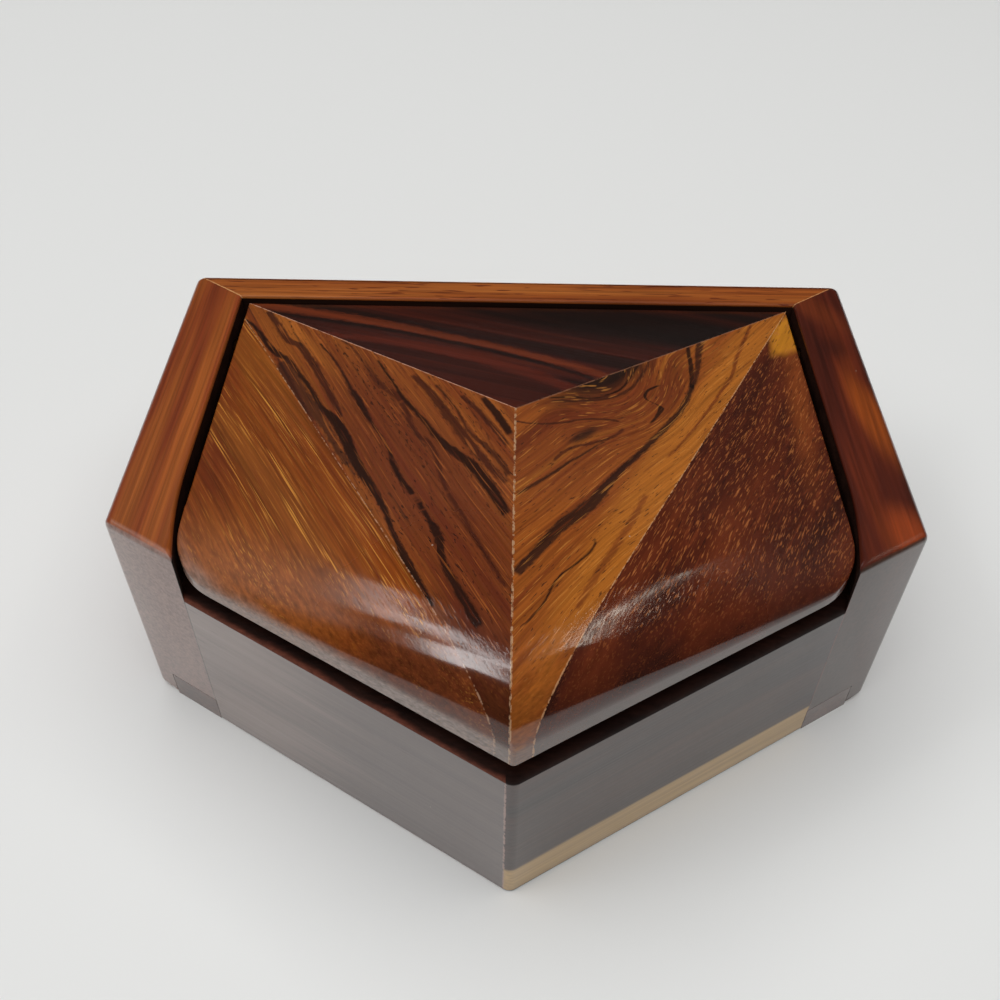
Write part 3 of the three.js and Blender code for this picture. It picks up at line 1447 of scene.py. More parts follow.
@dataclass(frozen=True)
class LidPlan:
    """Corner points and joints of the lid boards."""

    sizes: BoxSizes

    def fall(self) -> float:
        """Fall of the roof per unit of its width."""
        return self.sizes.ridge_rise / self.sizes.lid_x

    def back_fall(self) -> float:
        """Fall of the back board per unit of its depth."""
        return self.sizes.ridge_rise / self.sizes.hip_length

    def back_corner(self, side: Side) -> Point:
        """Back corner of the lid."""
        return (side.value * self.sizes.lid_x, self.sizes.lid_back_y)

    def apex(self) -> Point:
        """Back end of the ridge."""
        return (self.sizes.apex_x, self.sizes.apex_y)

    def seam(self, side: Side) -> JointPlane:
        """Joint between the inner and the outer board.

        Args:
            side: Side of the lid.

        Returns:
            The joint.
        """
        setback = self.sizes.left_seam_setback if side is Side.LEFT else 0.0
        back = (side.value * self.sizes.lid_x, self.sizes.lid_back_y - setback)
        offset = self.sizes.seam_front_offset
        return JointPlane(back, (side.value * offset, self.sizes.front_y(offset)))

    def hip(self, side: Side) -> JointPlane:
        """Joint between the inner board and the back board."""
        return JointPlane(self.back_corner(side), self.apex())

    def ridge(self) -> JointPlane:
        """Joint between the two inner boards."""
        return JointPlane(self.apex(), (self.sizes.ridge_x, self.sizes.tip_y))

    def joints(self) -> list[JointPlane]:
        """All joints between the boards."""
        return [self.ridge(), *(joint(side) for side in Side for joint in (self.seam, self.hip))]


# Finishes

DUSKY = (46, 27, 22)
INK = (30, 18, 16)

# Glue lines: colour, width, gaps and strength

RIDGE = ((190, 152, 116), 0.17, 0.48, 0.75)
LEFT_HIP = ((190, 144, 120), 0.13, 0.36, 0.8)
RIGHT_HIP = ((140, 96, 72), 0.13, 0.4, 0.7)
LEFT_SEAM = ((190, 150, 120), 0.09, 0.5, 0.5)
RIGHT_SEAM = ((206, 156, 112), 0.09, 0.46, 0.6)
LEFT_MITRE = ((206, 152, 100), 0.16, 0.3, 0.8)
RIGHT_MITRE = ((160, 90, 50), 0.12, 0.4, 0.6)
LEFT_END = ((34, 22, 20), 0.1, 0.25, 0.8)
RIGHT_END = ((110, 56, 44), 0.12, 0.35, 0.8)
FRONT_TIP = ((176, 140, 128), 0.16, 0.44, 0.7)


def lid_wood(plan: LidPlan, side: Side, **own: object) -> WoodFinish:
    """Finish of a lid board that falls sideways, with what these four boards share.

    Args:
        plan: Joints of the lid.
        side: Side of the board.
        own: What this board has for itself.

    Returns:
        The finish.
    """
    shared = {
        "slope": (-side.value * plan.fall(), 0.0),
        "top_level": plan.sizes.ridge_top,
        "coat": 0.45,
        "roughness": 0.34,
        "roughness_spread": 0.05,
        "bump": 0.05,
    }
    return WoodFinish(**{**shared, **own})


def left_outer_wood(plan: LidPlan) -> WoodFinish:
    """Golden brown with fine light streaks.

    Args:
        plan: Joints of the lid.

    Returns:
        The finish.
    """
    return lid_wood(
        plan, Side.LEFT, name="lid_left_outer_wood", grain_angle=-60.0,
        # Painted reflection of the pale table: a grey band along the lid's lower front face.
        band=HeightBand(37.2, 0.02, (184, 162, 150), 0.74, 0.8),
        stops=(
            (0.28, (122, 52, 20)), (0.42, (146, 69, 24)), (0.52, (164, 84, 28)),
            (0.62, (148, 72, 25)), (0.74, (182, 102, 34)),
        ),
        period=3.5, length=110.0, wander=1.2, hair_contrast=0.42,
        zones=(
            Zone((-45.2, 12.0), 34.0, 1.8, -88.0, (138, 60, 26), 0.55),
            Zone((-38.0, -2.0), 26.0, 2.2, -56.0, (194, 118, 42), 0.45),
            Zone((-41.0, 20.0), 18.0, 2.6, -60.0, (192, 114, 40), 0.4),
            Zone((-31.0, -14.0), 24.0, 3.0, -60.0, (124, 60, 28), 0.5),
            Zone((-43.5, 0.0), 9.0, 2.4, -74.0, (120, 52, 26), 0.6, 0.8),
            Zone((-35.0, 8.0), 12.0, 1.6, -60.0, (132, 62, 28), 0.45, 0.6),
            # Painted shade on the nose near the tip.
            Zone((-9.0, -41.0), 13.0, 4.6, -31.0, (108, 52, 30), 0.8, 0.5),
            Zone((-36.0, -22.0), 14.0, 7.0, -31.0, (186, 106, 44), 0.6, 0.8),
        ),
        marks=(
            Dashes((224, 154, 64), 15.0, 0.2, 0.5, 0.66, 0.16, 0.88),
            Dashes((206, 132, 52), 6.0, 0.15, 0.46, 0.45, 0.16, 0.5),
            Dashes((116, 48, 22), 7.0, 0.8, 0.42, 0.45, 0.2, 0.5),
            Dashes((90, 38, 18), 5.0, 0.16, 0.46, 0.55, 0.16, 0.5),
        ),
        seams=(Seam(plan.seam(Side.LEFT), *LEFT_SEAM),),
        gloss_spot=(-6.0, -36.0),
        # The nose setting below darkens the nose as painted shade.
        nose_tone=0.98, nose_marks=0.3, gloss_roughness=0.1, tone=0.56, seed=1.3,
    )


def left_inner_wood(plan: LidPlan) -> WoodFinish:
    """Orange and red-brown stripes with near-black veins.

    Args:
        plan: Joints of the lid.

    Returns:
        The finish.
    """
    return lid_wood(
        plan, Side.LEFT, name="lid_left_inner_wood", grain_angle=-63.0,
        # Painted reflection of the pale table: a grey band along the lid's lower front face.
        band=HeightBand(37.2, 0.02, (184, 162, 150), 0.74, 0.8),
        stops=(
            (0.26, (104, 48, 26)), (0.38, (134, 64, 28)), (0.48, (160, 88, 34)),
            (0.58, (138, 68, 30)), (0.66, (166, 94, 36)), (0.78, (122, 56, 28)),
        ),
        period=2.6, length=160.0, wander=1.4, hair_contrast=0.28,
        zones=(
            # Painted shade on the nose at the tip.
            Zone((-2.6, -42.0), 15.0, 5.0, -63.0, (84, 38, 24), 0.8, 0.6),
            Zone((-13.0, -9.0), 34.0, 7.0, -63.0, (104, 46, 28), 0.72, 0.5),
            Zone((-37.0, 30.0), 14.0, 1.2, -56.0, (186, 108, 42), 0.6, 0.5),
        ),
        veins=(
            Vein(((-46.6, 35.6, 0.4), (-43.5, 31.6, 0.7), (-41.1, 27.4, 1.0), (-38.6, 24.0, 1.1),
                  (-36.7, 22.1, 0.8), (-34.3, 18.2, 0.7), (-31.8, 13.9, 0.7), (-29.7, 9.5, 0.8),
                  (-27.5, 6.6, 1.5), (-25.0, 1.7, 1.7), (-23.1, -3.1, 1.5), (-20.7, -8.0, 1.3),
                  (-18.7, -11.7, 1.0), (-16.2, -18.2, 0.7), (-13.2, -25.3, 1.2), (-10.2, -31.8, 0.8)),
                 INK, 0.92, 0.5, 0.3),
            Vein(((-37.9, 22.5, 0.8), (-35.2, 16.3, 2.8), (-32.3, 11.0, 2.8), (-29.4, 6.6, 1.8),
                  (-26.5, 0.8, 1.2), (-23.6, -4.6, 1.0)), (62, 34, 26), 0.8, 1.2, 0.4),
            Vein(((-42.9, 37.3, 1.2), (-40.6, 33.3, 1.1), (-37.7, 27.9, 1.2), (-35.2, 25.5, 1.2),
                  (-32.3, 20.2, 1.3), (-30.4, 16.3, 1.2), (-28.9, 12.9, 1.0), (-27.0, 8.5, 0.8),
                  (-26.0, 6.1, 0.5)), (66, 30, 22), 0.85, 0.6, 0.4),
            Vein(((-32.3, 26.0, 0.35), (-27.5, 17.7, 0.4), (-25.3, 12.9, 0.6), (-24.4, 11.0, 0.95),
                  (-22.4, 6.5, 0.9), (-20.9, 3.4, 0.5), (-18.7, -0.7, 0.4), (-16.8, -6.5, 0.8),
                  (-13.7, -12.2, 0.8), (-11.7, -16.2, 0.6), (-10.4, -19.2, 1.2), (-8.7, -25.8, 0.9),
                  (-5.7, -32.3, 1.2), (-4.2, -35.3, 0.9)), INK, 0.88, 0.6, 0.4, 0.5),
            Vein(((-28.9, 26.0, 0.4), (-25.0, 21.1, 0.5), (-22.1, 15.3, 0.8), (-20.7, 12.9, 1.0),
                  (-17.3, 8.5, 0.9), (-14.4, 0.8, 0.8), (-12.4, -1.6, 0.8), (-10.2, -9.2, 0.7),
                  (-8.2, -14.2, 0.7), (-3.2, -25.3, 0.6), (-1.2, -29.8, 0.5)),
                 (72, 32, 22), 0.8, 0.8, 0.4, 0.4),
            Vein(((-22.1, 19.7, 0.4), (-19.2, 13.9, 0.5), (-16.8, 9.0, 0.6), (-13.4, 3.2, 0.7),
                  (-10.5, -1.6, 1.1), (-8.1, -4.8, 1.4), (-5.2, -8.6, 1.6), (-3.2, -12.7, 1.5),
                  (-1.2, -17.5, 1.0)), INK, 0.9, 0.6, 0.4),
            Vein(((-16.3, 14.8, 0.8), (-13.4, 10.5, 1.2), (-10.5, 5.1, 1.5), (-8.1, 0.3, 1.5),
                  (-5.0, -5.5, 1.3), (-1.2, -11.5, 1.0)), (70, 32, 22), 0.85, 1.0, 0.4),
            Vein(((-12.4, 11.9, 0.4), (-9.5, 6.6, 0.5), (-6.6, -0.2, 0.5), (-3.2, -5.2, 0.9),
                  (-1.0, -10.2, 0.8)), (60, 28, 20), 0.8, 0.5, 0.4),
            Vein(((-8.6, 8.5, 0.5), (-6.1, 5.1, 0.8), (-3.2, -0.2, 0.8), (-1.2, -4.1, 0.8)),
                 (64, 30, 22), 0.85, 0.6, 0.3),
            Vein(((-5.2, 7.6, 0.5), (-4.5, 6.1, 0.9), (-2.7, 2.7, 1.1), (-0.9, -1.9, 0.9)),
                 INK, 0.9, 0.5, 0.3),
        ),
        marks=(
            Dashes(INK, 1.1, 0.28, 0.36, 0.8, 0.06, 0.8),
            Dashes((188, 106, 44), 9.0, 0.26, 0.38, 0.35, 0.1),
            Dashes((84, 36, 20), 5.0, 0.3, 0.4, 0.5, 0.1),
            Dashes(DUSKY, 9.0, 0.55, 0.3, 0.55, 0.1),
        ),
        seams=(
            Seam(plan.hip(Side.LEFT), *LEFT_HIP),
            Seam(plan.ridge(), *RIDGE),
            Seam(plan.seam(Side.LEFT), *LEFT_SEAM),
        ),
        gloss_spot=(-6.0, -36.0),
        # The nose setting below darkens the nose as painted shade.
        nose_tone=0.6, nose_marks=0.25, gloss_roughness=0.1, tone=0.74, seed=5.1,
    )


def right_inner_wood(plan: LidPlan) -> WoodFinish:
    """Golden orange with dark veins that bend round a swirl.

    Args:
        plan: Joints of the lid.

    Returns:
        The finish.
    """
    return lid_wood(
        plan, Side.RIGHT, name="lid_right_inner_wood", grain_angle=52.0,
        # Painted reflection of the pale table: a grey band along the lid's lower front face.
        band=HeightBand(37.0, -0.06, (120, 104, 92), 0.5, 0.9),
        stops=(
            (0.26, (96, 44, 24)), (0.38, (130, 62, 28)), (0.5, (162, 88, 34)),
            (0.6, (142, 72, 30)), (0.7, (180, 106, 40)),
        ),
        period=2.6, length=120.0, wander=3.0, wander_scale=22.0, hair_contrast=0.28,
        swirls=(Swirl((15.0, 12.0), 15.0, 7.0),),
        zones=(
            Zone((25.5, 3.5), 48.0, 3.6, 62.6, (190, 114, 40), 0.75, 0.35),
            Zone((15.5, 8.0), 12.0, 5.0, 40.0, (116, 52, 28), 0.62, 0.5),
            Zone((24.0, 17.0), 9.0, 2.2, 74.0, (104, 46, 26), 0.65, 0.5),
            Zone((8.0, -3.0), 13.0, 7.0, 45.0, (112, 52, 28), 0.4, 0.7),
            Zone((12.6, 13.2), 9.4, 2.5, 41.0, (52, 32, 24), 0.8, 0.55),
            Zone((14.0, 15.2), 6.0, 1.5, 41.0, (34, 24, 20), 0.85, 0.35),
            Zone((9.6, 0.4), 3.2, 0.9, 44.0, (48, 30, 24), 0.85, 0.5),
        ),
        veins=(
            Vein(((27.2, 16.6, 0.9), (26.5, 13.5, 0.8), (25.3, 10.5, 0.8), (23.7, 7.5, 0.9),
                  (20.7, 2.9, 0.9), (17.6, -1.7, 0.9), (13.6, -7.3, 1.1), (10.8, -12.0, 1.7),
                  (7.7, -16.0, 1.9), (5.1, -19.1, 1.6), (2.6, -23.2, 1.4), (-0.2, -27.6, 1.2)),
                 DUSKY, 0.9, 0.7, 0.3),
            Vein(((27.6, 27.4, 0.5), (27.5, 23.5, 0.7), (27.5, 20.1, 0.8), (27.2, 16.6, 0.8),
                  (26.8, 14.5, 0.8)), INK, 0.9, 0.4, 0.2),
            Vein(((30.7, 30.2, 1.1), (29.4, 25.2, 1.2), (28.8, 21.7, 1.0), (28.3, 19.1, 0.8),
                  (27.3, 15.5, 0.6)), (58, 30, 22), 0.9, 0.6, 0.2),
            Vein(((4.4, 7.5, 0.3), (8.5, 8.5, 0.4), (11.5, 9.0, 0.4), (13.6, 10.2, 0.4),
                  (15.6, 12.0, 0.35), (17.1, 14.6, 0.35), (18.6, 18.1, 0.35), (19.2, 20.2, 0.3)),
                 INK, 0.85, 0.3, 0.3),
            Vein(((4.6, 6.8, 0.5), (9.0, 7.9, 0.6), (13.0, 9.2, 0.6), (16.4, 11.6, 0.55),
                  (18.6, 15.0, 0.5), (20.2, 18.4, 0.5), (21.0, 21.4, 0.4)), (58, 30, 22), 0.8, 0.5, 0.3),
            Vein(((22.2, 14.6, 0.3), (20.7, 13.5, 0.5), (19.5, 12.0, 0.5), (19.4, 10.6, 0.5),
                  (21.6, 9.2, 0.9), (21.1, 7.6, 0.6), (19.4, 4.8, 0.3)), INK, 0.88, 0.2, 0.1),
            Vein(((-0.6, 1.3, 0.35), (2.9, 1.4, 0.35), (6.5, 2.4, 0.4), (10.0, 3.9, 0.4),
                  (13.1, 4.5, 0.4), (15.4, 4.3, 0.4)), (70, 34, 22), 0.85, 0.3, 0.2),
            Vein(((15.7, 3.2, 0.6), (13.6, 0.8, 0.5), (10.5, -1.2, 0.5), (7.5, -2.9, 0.5),
                  (4.9, -6.3, 0.4)), (78, 36, 24), 0.85, 0.4, 0.3),
            Vein(((12.8, -0.2, 0.25), (7.7, -5.3, 0.4), (3.1, -10.4, 0.5), (-0.2, -13.7, 0.4)),
                 DUSKY, 0.85, 0.4, 0.4),
            Vein(((39.6, 35.0, 0.5), (37.5, 29.5, 0.6), (35.4, 24.1, 0.6), (33.6, 18.7, 0.5),
                  (31.4, 14.6, 0.5), (27.6, 7.6, 0.4), (21.4, -2.0, 0.3)), (112, 48, 22), 0.75, 0.5, 0.4),
            Vein(((17.9, -9.9, 0.8), (14.3, -17.6, 0.9), (10.2, -25.7, 0.9), (7.2, -31.9, 0.7)),
                 (118, 54, 26), 0.65, 0.9, 0.4),
            Vein(((10.2, -19.6, 0.3), (9.7, -21.6, 0.3), (7.7, -24.2, 0.3), (5.1, -27.3, 0.3),
                  (3.1, -31.8, 0.3), (0.6, -35.4, 0.3)), INK, 0.85, 0.2, 0.3, 0.3),
        ),
        marks=(
            Dashes(DUSKY, 1.5, 0.24, 0.26, 0.75, 0.06),
            Dashes((210, 138, 62), 6.0, 0.26, 0.38, 0.4, 0.1),
            Dashes((104, 48, 22), 7.0, 0.28, 0.38, 0.45, 0.1),
        ),
        seams=(
            Seam(plan.hip(Side.RIGHT), *RIGHT_HIP),
            Seam(plan.ridge(), *RIDGE),
            Seam(plan.seam(Side.RIGHT), *RIGHT_SEAM),
        ),
        gloss_spot=(4.0, -34.0),
        nose_marks=0.3, gloss_roughness=0.08, tone=0.8, seed=8.4,
    )


def right_outer_wood(plan: LidPlan) -> WoodFinish:
    """Dark red-brown full of short golden flecks, with a yellow corner.

    Args:
        plan: Joints of the lid.

    Returns:
        The finish.
    """
    return lid_wood(
        plan, Side.RIGHT, name="lid_right_outer_wood", grain_angle=64.0,
        # Painted reflection of the pale table: a grey band along the lid's lower front face.
        band=HeightBand(37.0, -0.06, (112, 100, 90), 0.5, 0.9),
        stops=(
            (0.3, (60, 27, 20)), (0.44, (78, 33, 21)), (0.56, (92, 39, 22)), (0.7, (108, 48, 25)),
        ),
        period=6.0, length=30.0, wander=3.0, hair_contrast=0.2,
        zones=(
            Zone((44.6, 17.0), 15.0, 1.6, 84.0, (166, 84, 34), 0.5, 0.9),
            Zone((45.8, 33.6), 7.2, 3.0, 66.0, (212, 138, 38), 0.9, 0.25),
        ),
        marks=(
            Dashes((180, 106, 56), 1.7, 0.19, 0.46, 0.5, 0.12),
            Dashes((196, 122, 64), 2.6, 0.24, 0.34, 0.4, 0.12),
            Dashes((132, 62, 32), 4.0, 0.5, 0.46, 0.4, 0.16, 0.6),
            Dashes((40, 18, 15), 2.2, 0.3, 0.4, 0.55, 0.12),
        ),
        seams=(Seam(plan.seam(Side.RIGHT), *RIGHT_SEAM),),
        coat=0.55,
        gloss_spot=(12.0, -30.0),
        nose_marks=0.18, gloss_roughness=0.07, tone=0.8, seed=2.9,
    )


def back_board_wood(plan: LidPlan) -> WoodFinish:
    """Very dark purple-brown with red streaks.

    Args:
        plan: Joints of the lid.

    Returns:
        The finish.
    """
    return WoodFinish(
        name="lid_back_wood", grain_angle=-22.0,
        slope=(0.0, -plan.back_fall()),
        stops=(
            (0.3, (28, 16, 14)), (0.44, (44, 20, 17)), (0.58, (76, 28, 19)), (0.76, (98, 38, 22)),
        ),
        period=5.0, length=120.0, wander=1.5, hair_contrast=0.28,
        zones=(Zone((20.0, 34.0), 34.0, 9.0, -14.0, (24, 15, 14), 0.92, 0.6),),
        veins=(
            Vein(((-50.0, 40.6, 2.6), (-38.0, 37.6, 2.8), (-25.0, 33.4, 2.6), (-13.4, 28.6, 2.2),
                  (0.2, 22.4, 2.0), (16.0, 13.0, 1.6)), (136, 58, 28), 0.75, 2.4, 1.0),
            Vein(((-34.0, 29.0, 1.6), (-27.5, 27.4, 1.8), (-14.4, 23.6, 2.4), (0.2, 16.3, 2.8),
                  (9.0, 9.5, 2.0)), (110, 40, 24), 0.7, 2.4, 1.0),
            Vein(((-44.0, 37.0, 0.6), (-36.0, 34.6, 0.9), (-20.0, 29.6, 1.3), (-6.0, 23.8, 1.3),
                  (12.0, 13.4, 1.0)), (26, 15, 14), 0.85, 1.2, 0.8),
        ),
        seams=(
            Seam(plan.hip(Side.LEFT), *LEFT_HIP),
            Seam(plan.hip(Side.RIGHT), *RIGHT_HIP),
        ),
        coat=0.6, tone=0.66, seed=6.6,
    )


@dataclass
class Case:
    """The five walls, the bottom panel and the two hinge pins."""

    sizes: BoxSizes
    effects: WoodEffects
    edge_ease: float = 1.2
    inner_ease: float = 0.5
    low_top_ease: float = 1.4
    base_ease: float = 0.4
    foot_ease: float = 1.6
    pin_ease: float = 0.02
    panel_gap: float = 0.08
    pin_chamfer: float = 0.2
    corner_steps: int = 8

    def outline(self) -> list[Point]:
        """Outline of the case."""
        size = self.sizes
        return size.outline(size.half_width, size.back_y, (size.corner_radius,) * 3, self.corner_steps)

    def mitre(self, side: Side) -> JointPlane:
        """Mitred joint at a back corner."""
        size = self.sizes
        corners = ((size.inner_x, size.inner_back_y), (size.half_width, size.back_y))
        return JointPlane(*((side.value * x, y) for x, y in corners))

    def front_face(self, side: Side) -> JointPlane:
        """Plane of a front face."""
        far_x = side.value * self.sizes.half_width
        return JointPlane((0.0, self.sizes.tip_y), (far_x, self.sizes.front_y(far_x)))

    def end_joint(self, side: Side) -> JointPlane:
        """Joint between a front wall and its side wall, where it shows in front."""
        x = side.value * self.sizes.joint_x
        return JointPlane((x, self.sizes.tip_y), (x, 0.0))

    def end_steps(self, side: Side) -> list[JointPlane]:
        """The same joint behind the front, as flat steps along the side wall's swell."""
        curve = self.sizes.swell_curve(side)
        return [JointPlane(start, end) for start, end in zip(curve, curve[1:])]

    def tip_joint(self) -> JointPlane:
        """Joint between the two front walls."""
        x = -self.sizes.tip_joint_offset
        return JointPlane((x, self.sizes.tip_y), (x, 0.0))

    def panel_outline(self, gap: float) -> list[Point]:
        """Outline of the bottom panel with its two tongues.

        Args:
            gap: How much wider than the panel the outline is all round.

        Returns:
            Points in plan.
        """
        size = self.sizes
        inset = size.rabbet_skin - gap
        skin_x = size.half_width - inset
        tongue_x = size.joint_x - gap
        half = [
            (tongue_x, size.front_y(tongue_x, inset)),
            (tongue_x, size.front_y(tongue_x) - gap),
            (skin_x, size.front_y(skin_x) - gap),
            (skin_x, size.back_y - inset),
        ]
        mirrored = [(-x, y) for x, y in reversed(half)]
        return [(0.0, size.front_y(0.0, inset)), *half, *mirrored]

    def _raised(
        self, points: Sequence[Point], cuts: Sequence[tuple[JointPlane, int]], top: float,
    ) -> BMesh:
        """Raise a wall from its plan and cut the rabbet for the bottom panel.

        Args:
            points: The wall's plan, longer than the case where it ends at the outline.
            cuts: Joints to saw at, each with its waste side: 1 for its right, -1 for its left.
            top: Height of the wall.

        Returns:
            The closed solid.
        """
        bm = plan_face(points, 0.0)
        trim_to_outline(bm, self.outline())
        for joint, waste in cuts:
            saw_joint(bm, joint, waste)
        pull_solid(bm, Vector((0.0, 0.0, top)))
        gap = self.panel_gap
        carve(bm, prism(self.panel_outline(gap), -OVERRUN, self.sizes.bottom_thickness + gap))
        return bm

    def side_wall(self, side: Side) -> BMesh:
        """Full-height side wall with its pin hole.

        Args:
            side: Side of the wall.

        Returns:
            The closed solid.
        """
        size = self.sizes
        sign = side.value
        beyond = size.half_width + OVERRUN
        points = [
            (sign * beyond, size.back_y + OVERRUN),
            (sign * size.inner_x, size.back_y + OVERRUN),
            *reversed(size.swell_curve(side)),
            (sign * size.joint_x, size.tip_y),
            (sign * beyond, size.tip_y),
        ]
        bm = self._raised(points, [(self.mitre(side), -sign)], size.wall_top)
        hole = size.pin_radius + size.glue_line
        ends = sorted((sign * (size.joint_x - OVERRUN), sign * beyond))
        carve(bm, round_bar(hole, *ends, size.hinge_y, size.hinge_z))
        return bm

    def back_wall(self) -> BMesh:
        """Full-height back wall, mitred at both ends.

        Returns:
            The closed solid.
        """
        size = self.sizes
        beyond = size.half_width + OVERRUN
        points = [
            (-beyond, size.inner_back_y),
            (beyond, size.inner_back_y),
            (beyond, size.back_y + OVERRUN),
            (-beyond, size.back_y + OVERRUN),
        ]
        cuts = [(self.mitre(side), side.value) for side in Side]
        return self._raised(points, cuts, size.wall_top)

    def front_wall(self, side: Side) -> BMesh:
        """Low front wall, from the tip joint to the side wall's inner face.

        Args:
            side: Side of the wall.

        Returns:
            The closed solid.
        """
        size = self.sizes
        sign = side.value
        joint_x = -size.tip_joint_offset
        far_x = size.half_width + OVERRUN
        reach = size.front_wall
        points = [
            (joint_x, size.tip_y - OVERRUN),
            (sign * far_x, size.front_y(far_x) - OVERRUN),
            (sign * far_x, size.front_y(far_x, reach)),
        ]
        if side is Side.RIGHT:
            points.append((0.0, size.front_y(0.0, reach)))
        points.append((joint_x, size.front_y(joint_x, reach)))
        cuts = [(step, sign) for step in self.end_steps(side)]
        return self._raised(points, cuts, size.front_wall_top)

    def pin(self, side: Side) -> BMesh:
        """Hinge pin with chamfered ends.

        Args:
            side: Side of the pin.

        Returns:
            The closed solid.
        """
        size = self.sizes
        outer = side.value * size.half_width
        inner = side.value * (size.lid_x - size.pin_depth_in_lid)
        bm = round_bar(size.pin_radius, *sorted((outer, inner)), size.hinge_y, size.hinge_z)
        rims = [edge for edge in bm.edges if edge.calc_face_angle(0.0) > SHARP_ANGLE]
        bmesh.ops.bevel(
            bm, geom=rims, offset=self.pin_chamfer, affect="EDGES", segments=2, profile=0.5,
            material=-1,
        )
        return bm

    def _ease(self, joints: Sequence[JointPlane], top: float) -> Callable[[BMEdge], float]:
        """Widths by which a wall's edges are softened.

        Args:
            joints: Joints whose edges stay crisp.
            top: Height of the wall's top.

        Returns:
            A function from an edge to its width.
        """
        size = self.sizes

        def width(edge: BMEdge) -> float:
            """Width for one edge.

            Args:
                edge: The edge.

            Returns:
                Its width.
            """
            if lies_in_joint(edge, joints):
                return 0.0
            middle = edge_middle(edge)
            beside = size.half_width - abs(middle.x)
            depth = min(size.behind_front(middle), beside, size.back_y - middle.y)
            if middle.z > top - JOINT_TOLERANCE:
                outside = self.edge_ease if top > size.front_wall_top else self.low_top_ease
                return outside if depth < size.corner_radius else self.inner_ease
            if middle.z < JOINT_TOLERANCE and depth < size.corner_radius:
                return self.foot_ease if beside < size.corner_radius else self.base_ease
            return 0.0

        return width

    def build(self) -> list[Object]:
        """Build and dress the case.

        Returns:
            Its pieces.
        """
        size = self.sizes
        # Inner faces of the tall walls get a finish painted dark as shade.
        inner = inner_wood().build(self.effects)
        mitres = [self.mitre(side) for side in Side]
        ease = self._ease(mitres, size.wall_top)
        back = self._dressed("back_wall", self.back_wall(), back_wall_wood(self), ease, "back_wall")
        second_finish(back, inner, (0.0, -1.0, 0.0), 0)
        pieces = [back]
        for side, side_wood, front_wood in (
            (Side.LEFT, left_side_wood, left_front_wood),
            (Side.RIGHT, right_side_wood, right_front_wood),
        ):
            word = f"{side.word}_side"
            ease = self._ease([self.mitre(side)], size.wall_top)
            wall = self._dressed(word, self.side_wall(side), side_wood(self), ease, word + "_wall")
            second_finish(wall, inner, (-side.value, 0.0, 0.0), 0)
            word = f"{side.word}_front"
            ease = self._ease([self.tip_joint(), *self.end_steps(side)], size.front_wall_top)
            low_wall = self._dressed(word, self.front_wall(side), front_wood(self), ease, word + "_wall")
            # The tops of the front walls get a finish painted dark as shade under the lid.
            second_finish(low_wall, dull_shaded_edge_wood(self, side).build(self.effects), (0.0, 0.0, 1.0), 1)
            pieces += [wall, low_wall]
        brass = BrassFinish().build(self.effects)
        for side in Side:
            made = finish_piece(self.pin(side), f"{side.word}_pin_rod", lambda edge: self.pin_ease)
            pieces.append(dress(made, brass, Body.CASE, f"{side.word}_hinge_pin"))
        panel = frame["nodes"]["bottom_panel"]
        panel.data.materials.clear()
        panel.data.materials.append(bottom_wood().build(self.effects))
        return pieces

    def _dressed(
        self, word: str, bm: BMesh, wood: WoodFinish, ease: Callable[[BMEdge], float], node: str,
    ) -> Object:
        """A wall's finished board in its node's place."""
        made = finish_piece(bm, word + "_board", ease)
        return dress(made, wood.build(self.effects), Body.CASE, node)


def back_wall_wood(case: Case) -> WoodFinish:
    """Orange-brown rail with rows of dark red dashes.

    Args:
        case: The case, for its joints.

    Returns:
        The finish.
    """
    return WoodFinish(
        name="back_wall_wood", grain_angle=0.0, grain_tilt=20.0,
        stops=(
            (0.3, (132, 60, 24)), (0.5, (168, 88, 34)), (0.7, (188, 108, 46)),
        ),
        period=2.4, length=60.0, wander=0.5,
        marks=(
            Dashes((96, 36, 16), 5.0, 0.6, 0.36, 0.8, 0.06),
            Dashes((84, 32, 16), 14.0, 0.35, 0.34, 0.6, 0.06),
        ),
        seams=tuple(Seam(case.mitre(side), *LEFT_MITRE) for side in Side),
        seed=4.2,
    )


def left_side_wood(case: Case) -> WoodFinish:
    """Red-brown with orange lines along its length.

    Args:
        case: The case, for its joints.

    Returns:
        The finish.
    """
    return WoodFinish(
        name="left_side_wood", grain_angle=90.0, grain_tilt=25.0,
        stops=(
            (0.28, (104, 42, 22)), (0.44, (142, 62, 28)), (0.58, (160, 84, 32)),
            (0.74, (146, 60, 30)),
        ),
        period=3.2, length=70.0, wander=1.0,
        zones=(
            Zone((-53.6, -8.0), 36.0, 0.9, -90.0, (190, 108, 38), 0.25, 0.5),
            Zone((-49.8, -4.0), 50.0, 1.4, -90.0, (188, 102, 36), 0.6, 0.5),
        ),
        seams=(
            Seam(case.mitre(Side.LEFT), *LEFT_MITRE),
            Seam(case.end_joint(Side.LEFT), *LEFT_END),
        ),
        coat_roughness=0.28, tone=0.72,
        # Pale grey end face: painted reflection of the pale table.
        painted_end_reflection=EndFace(case.front_face(Side.LEFT), (168, 142, 134)),
        seed=9.2,
    )


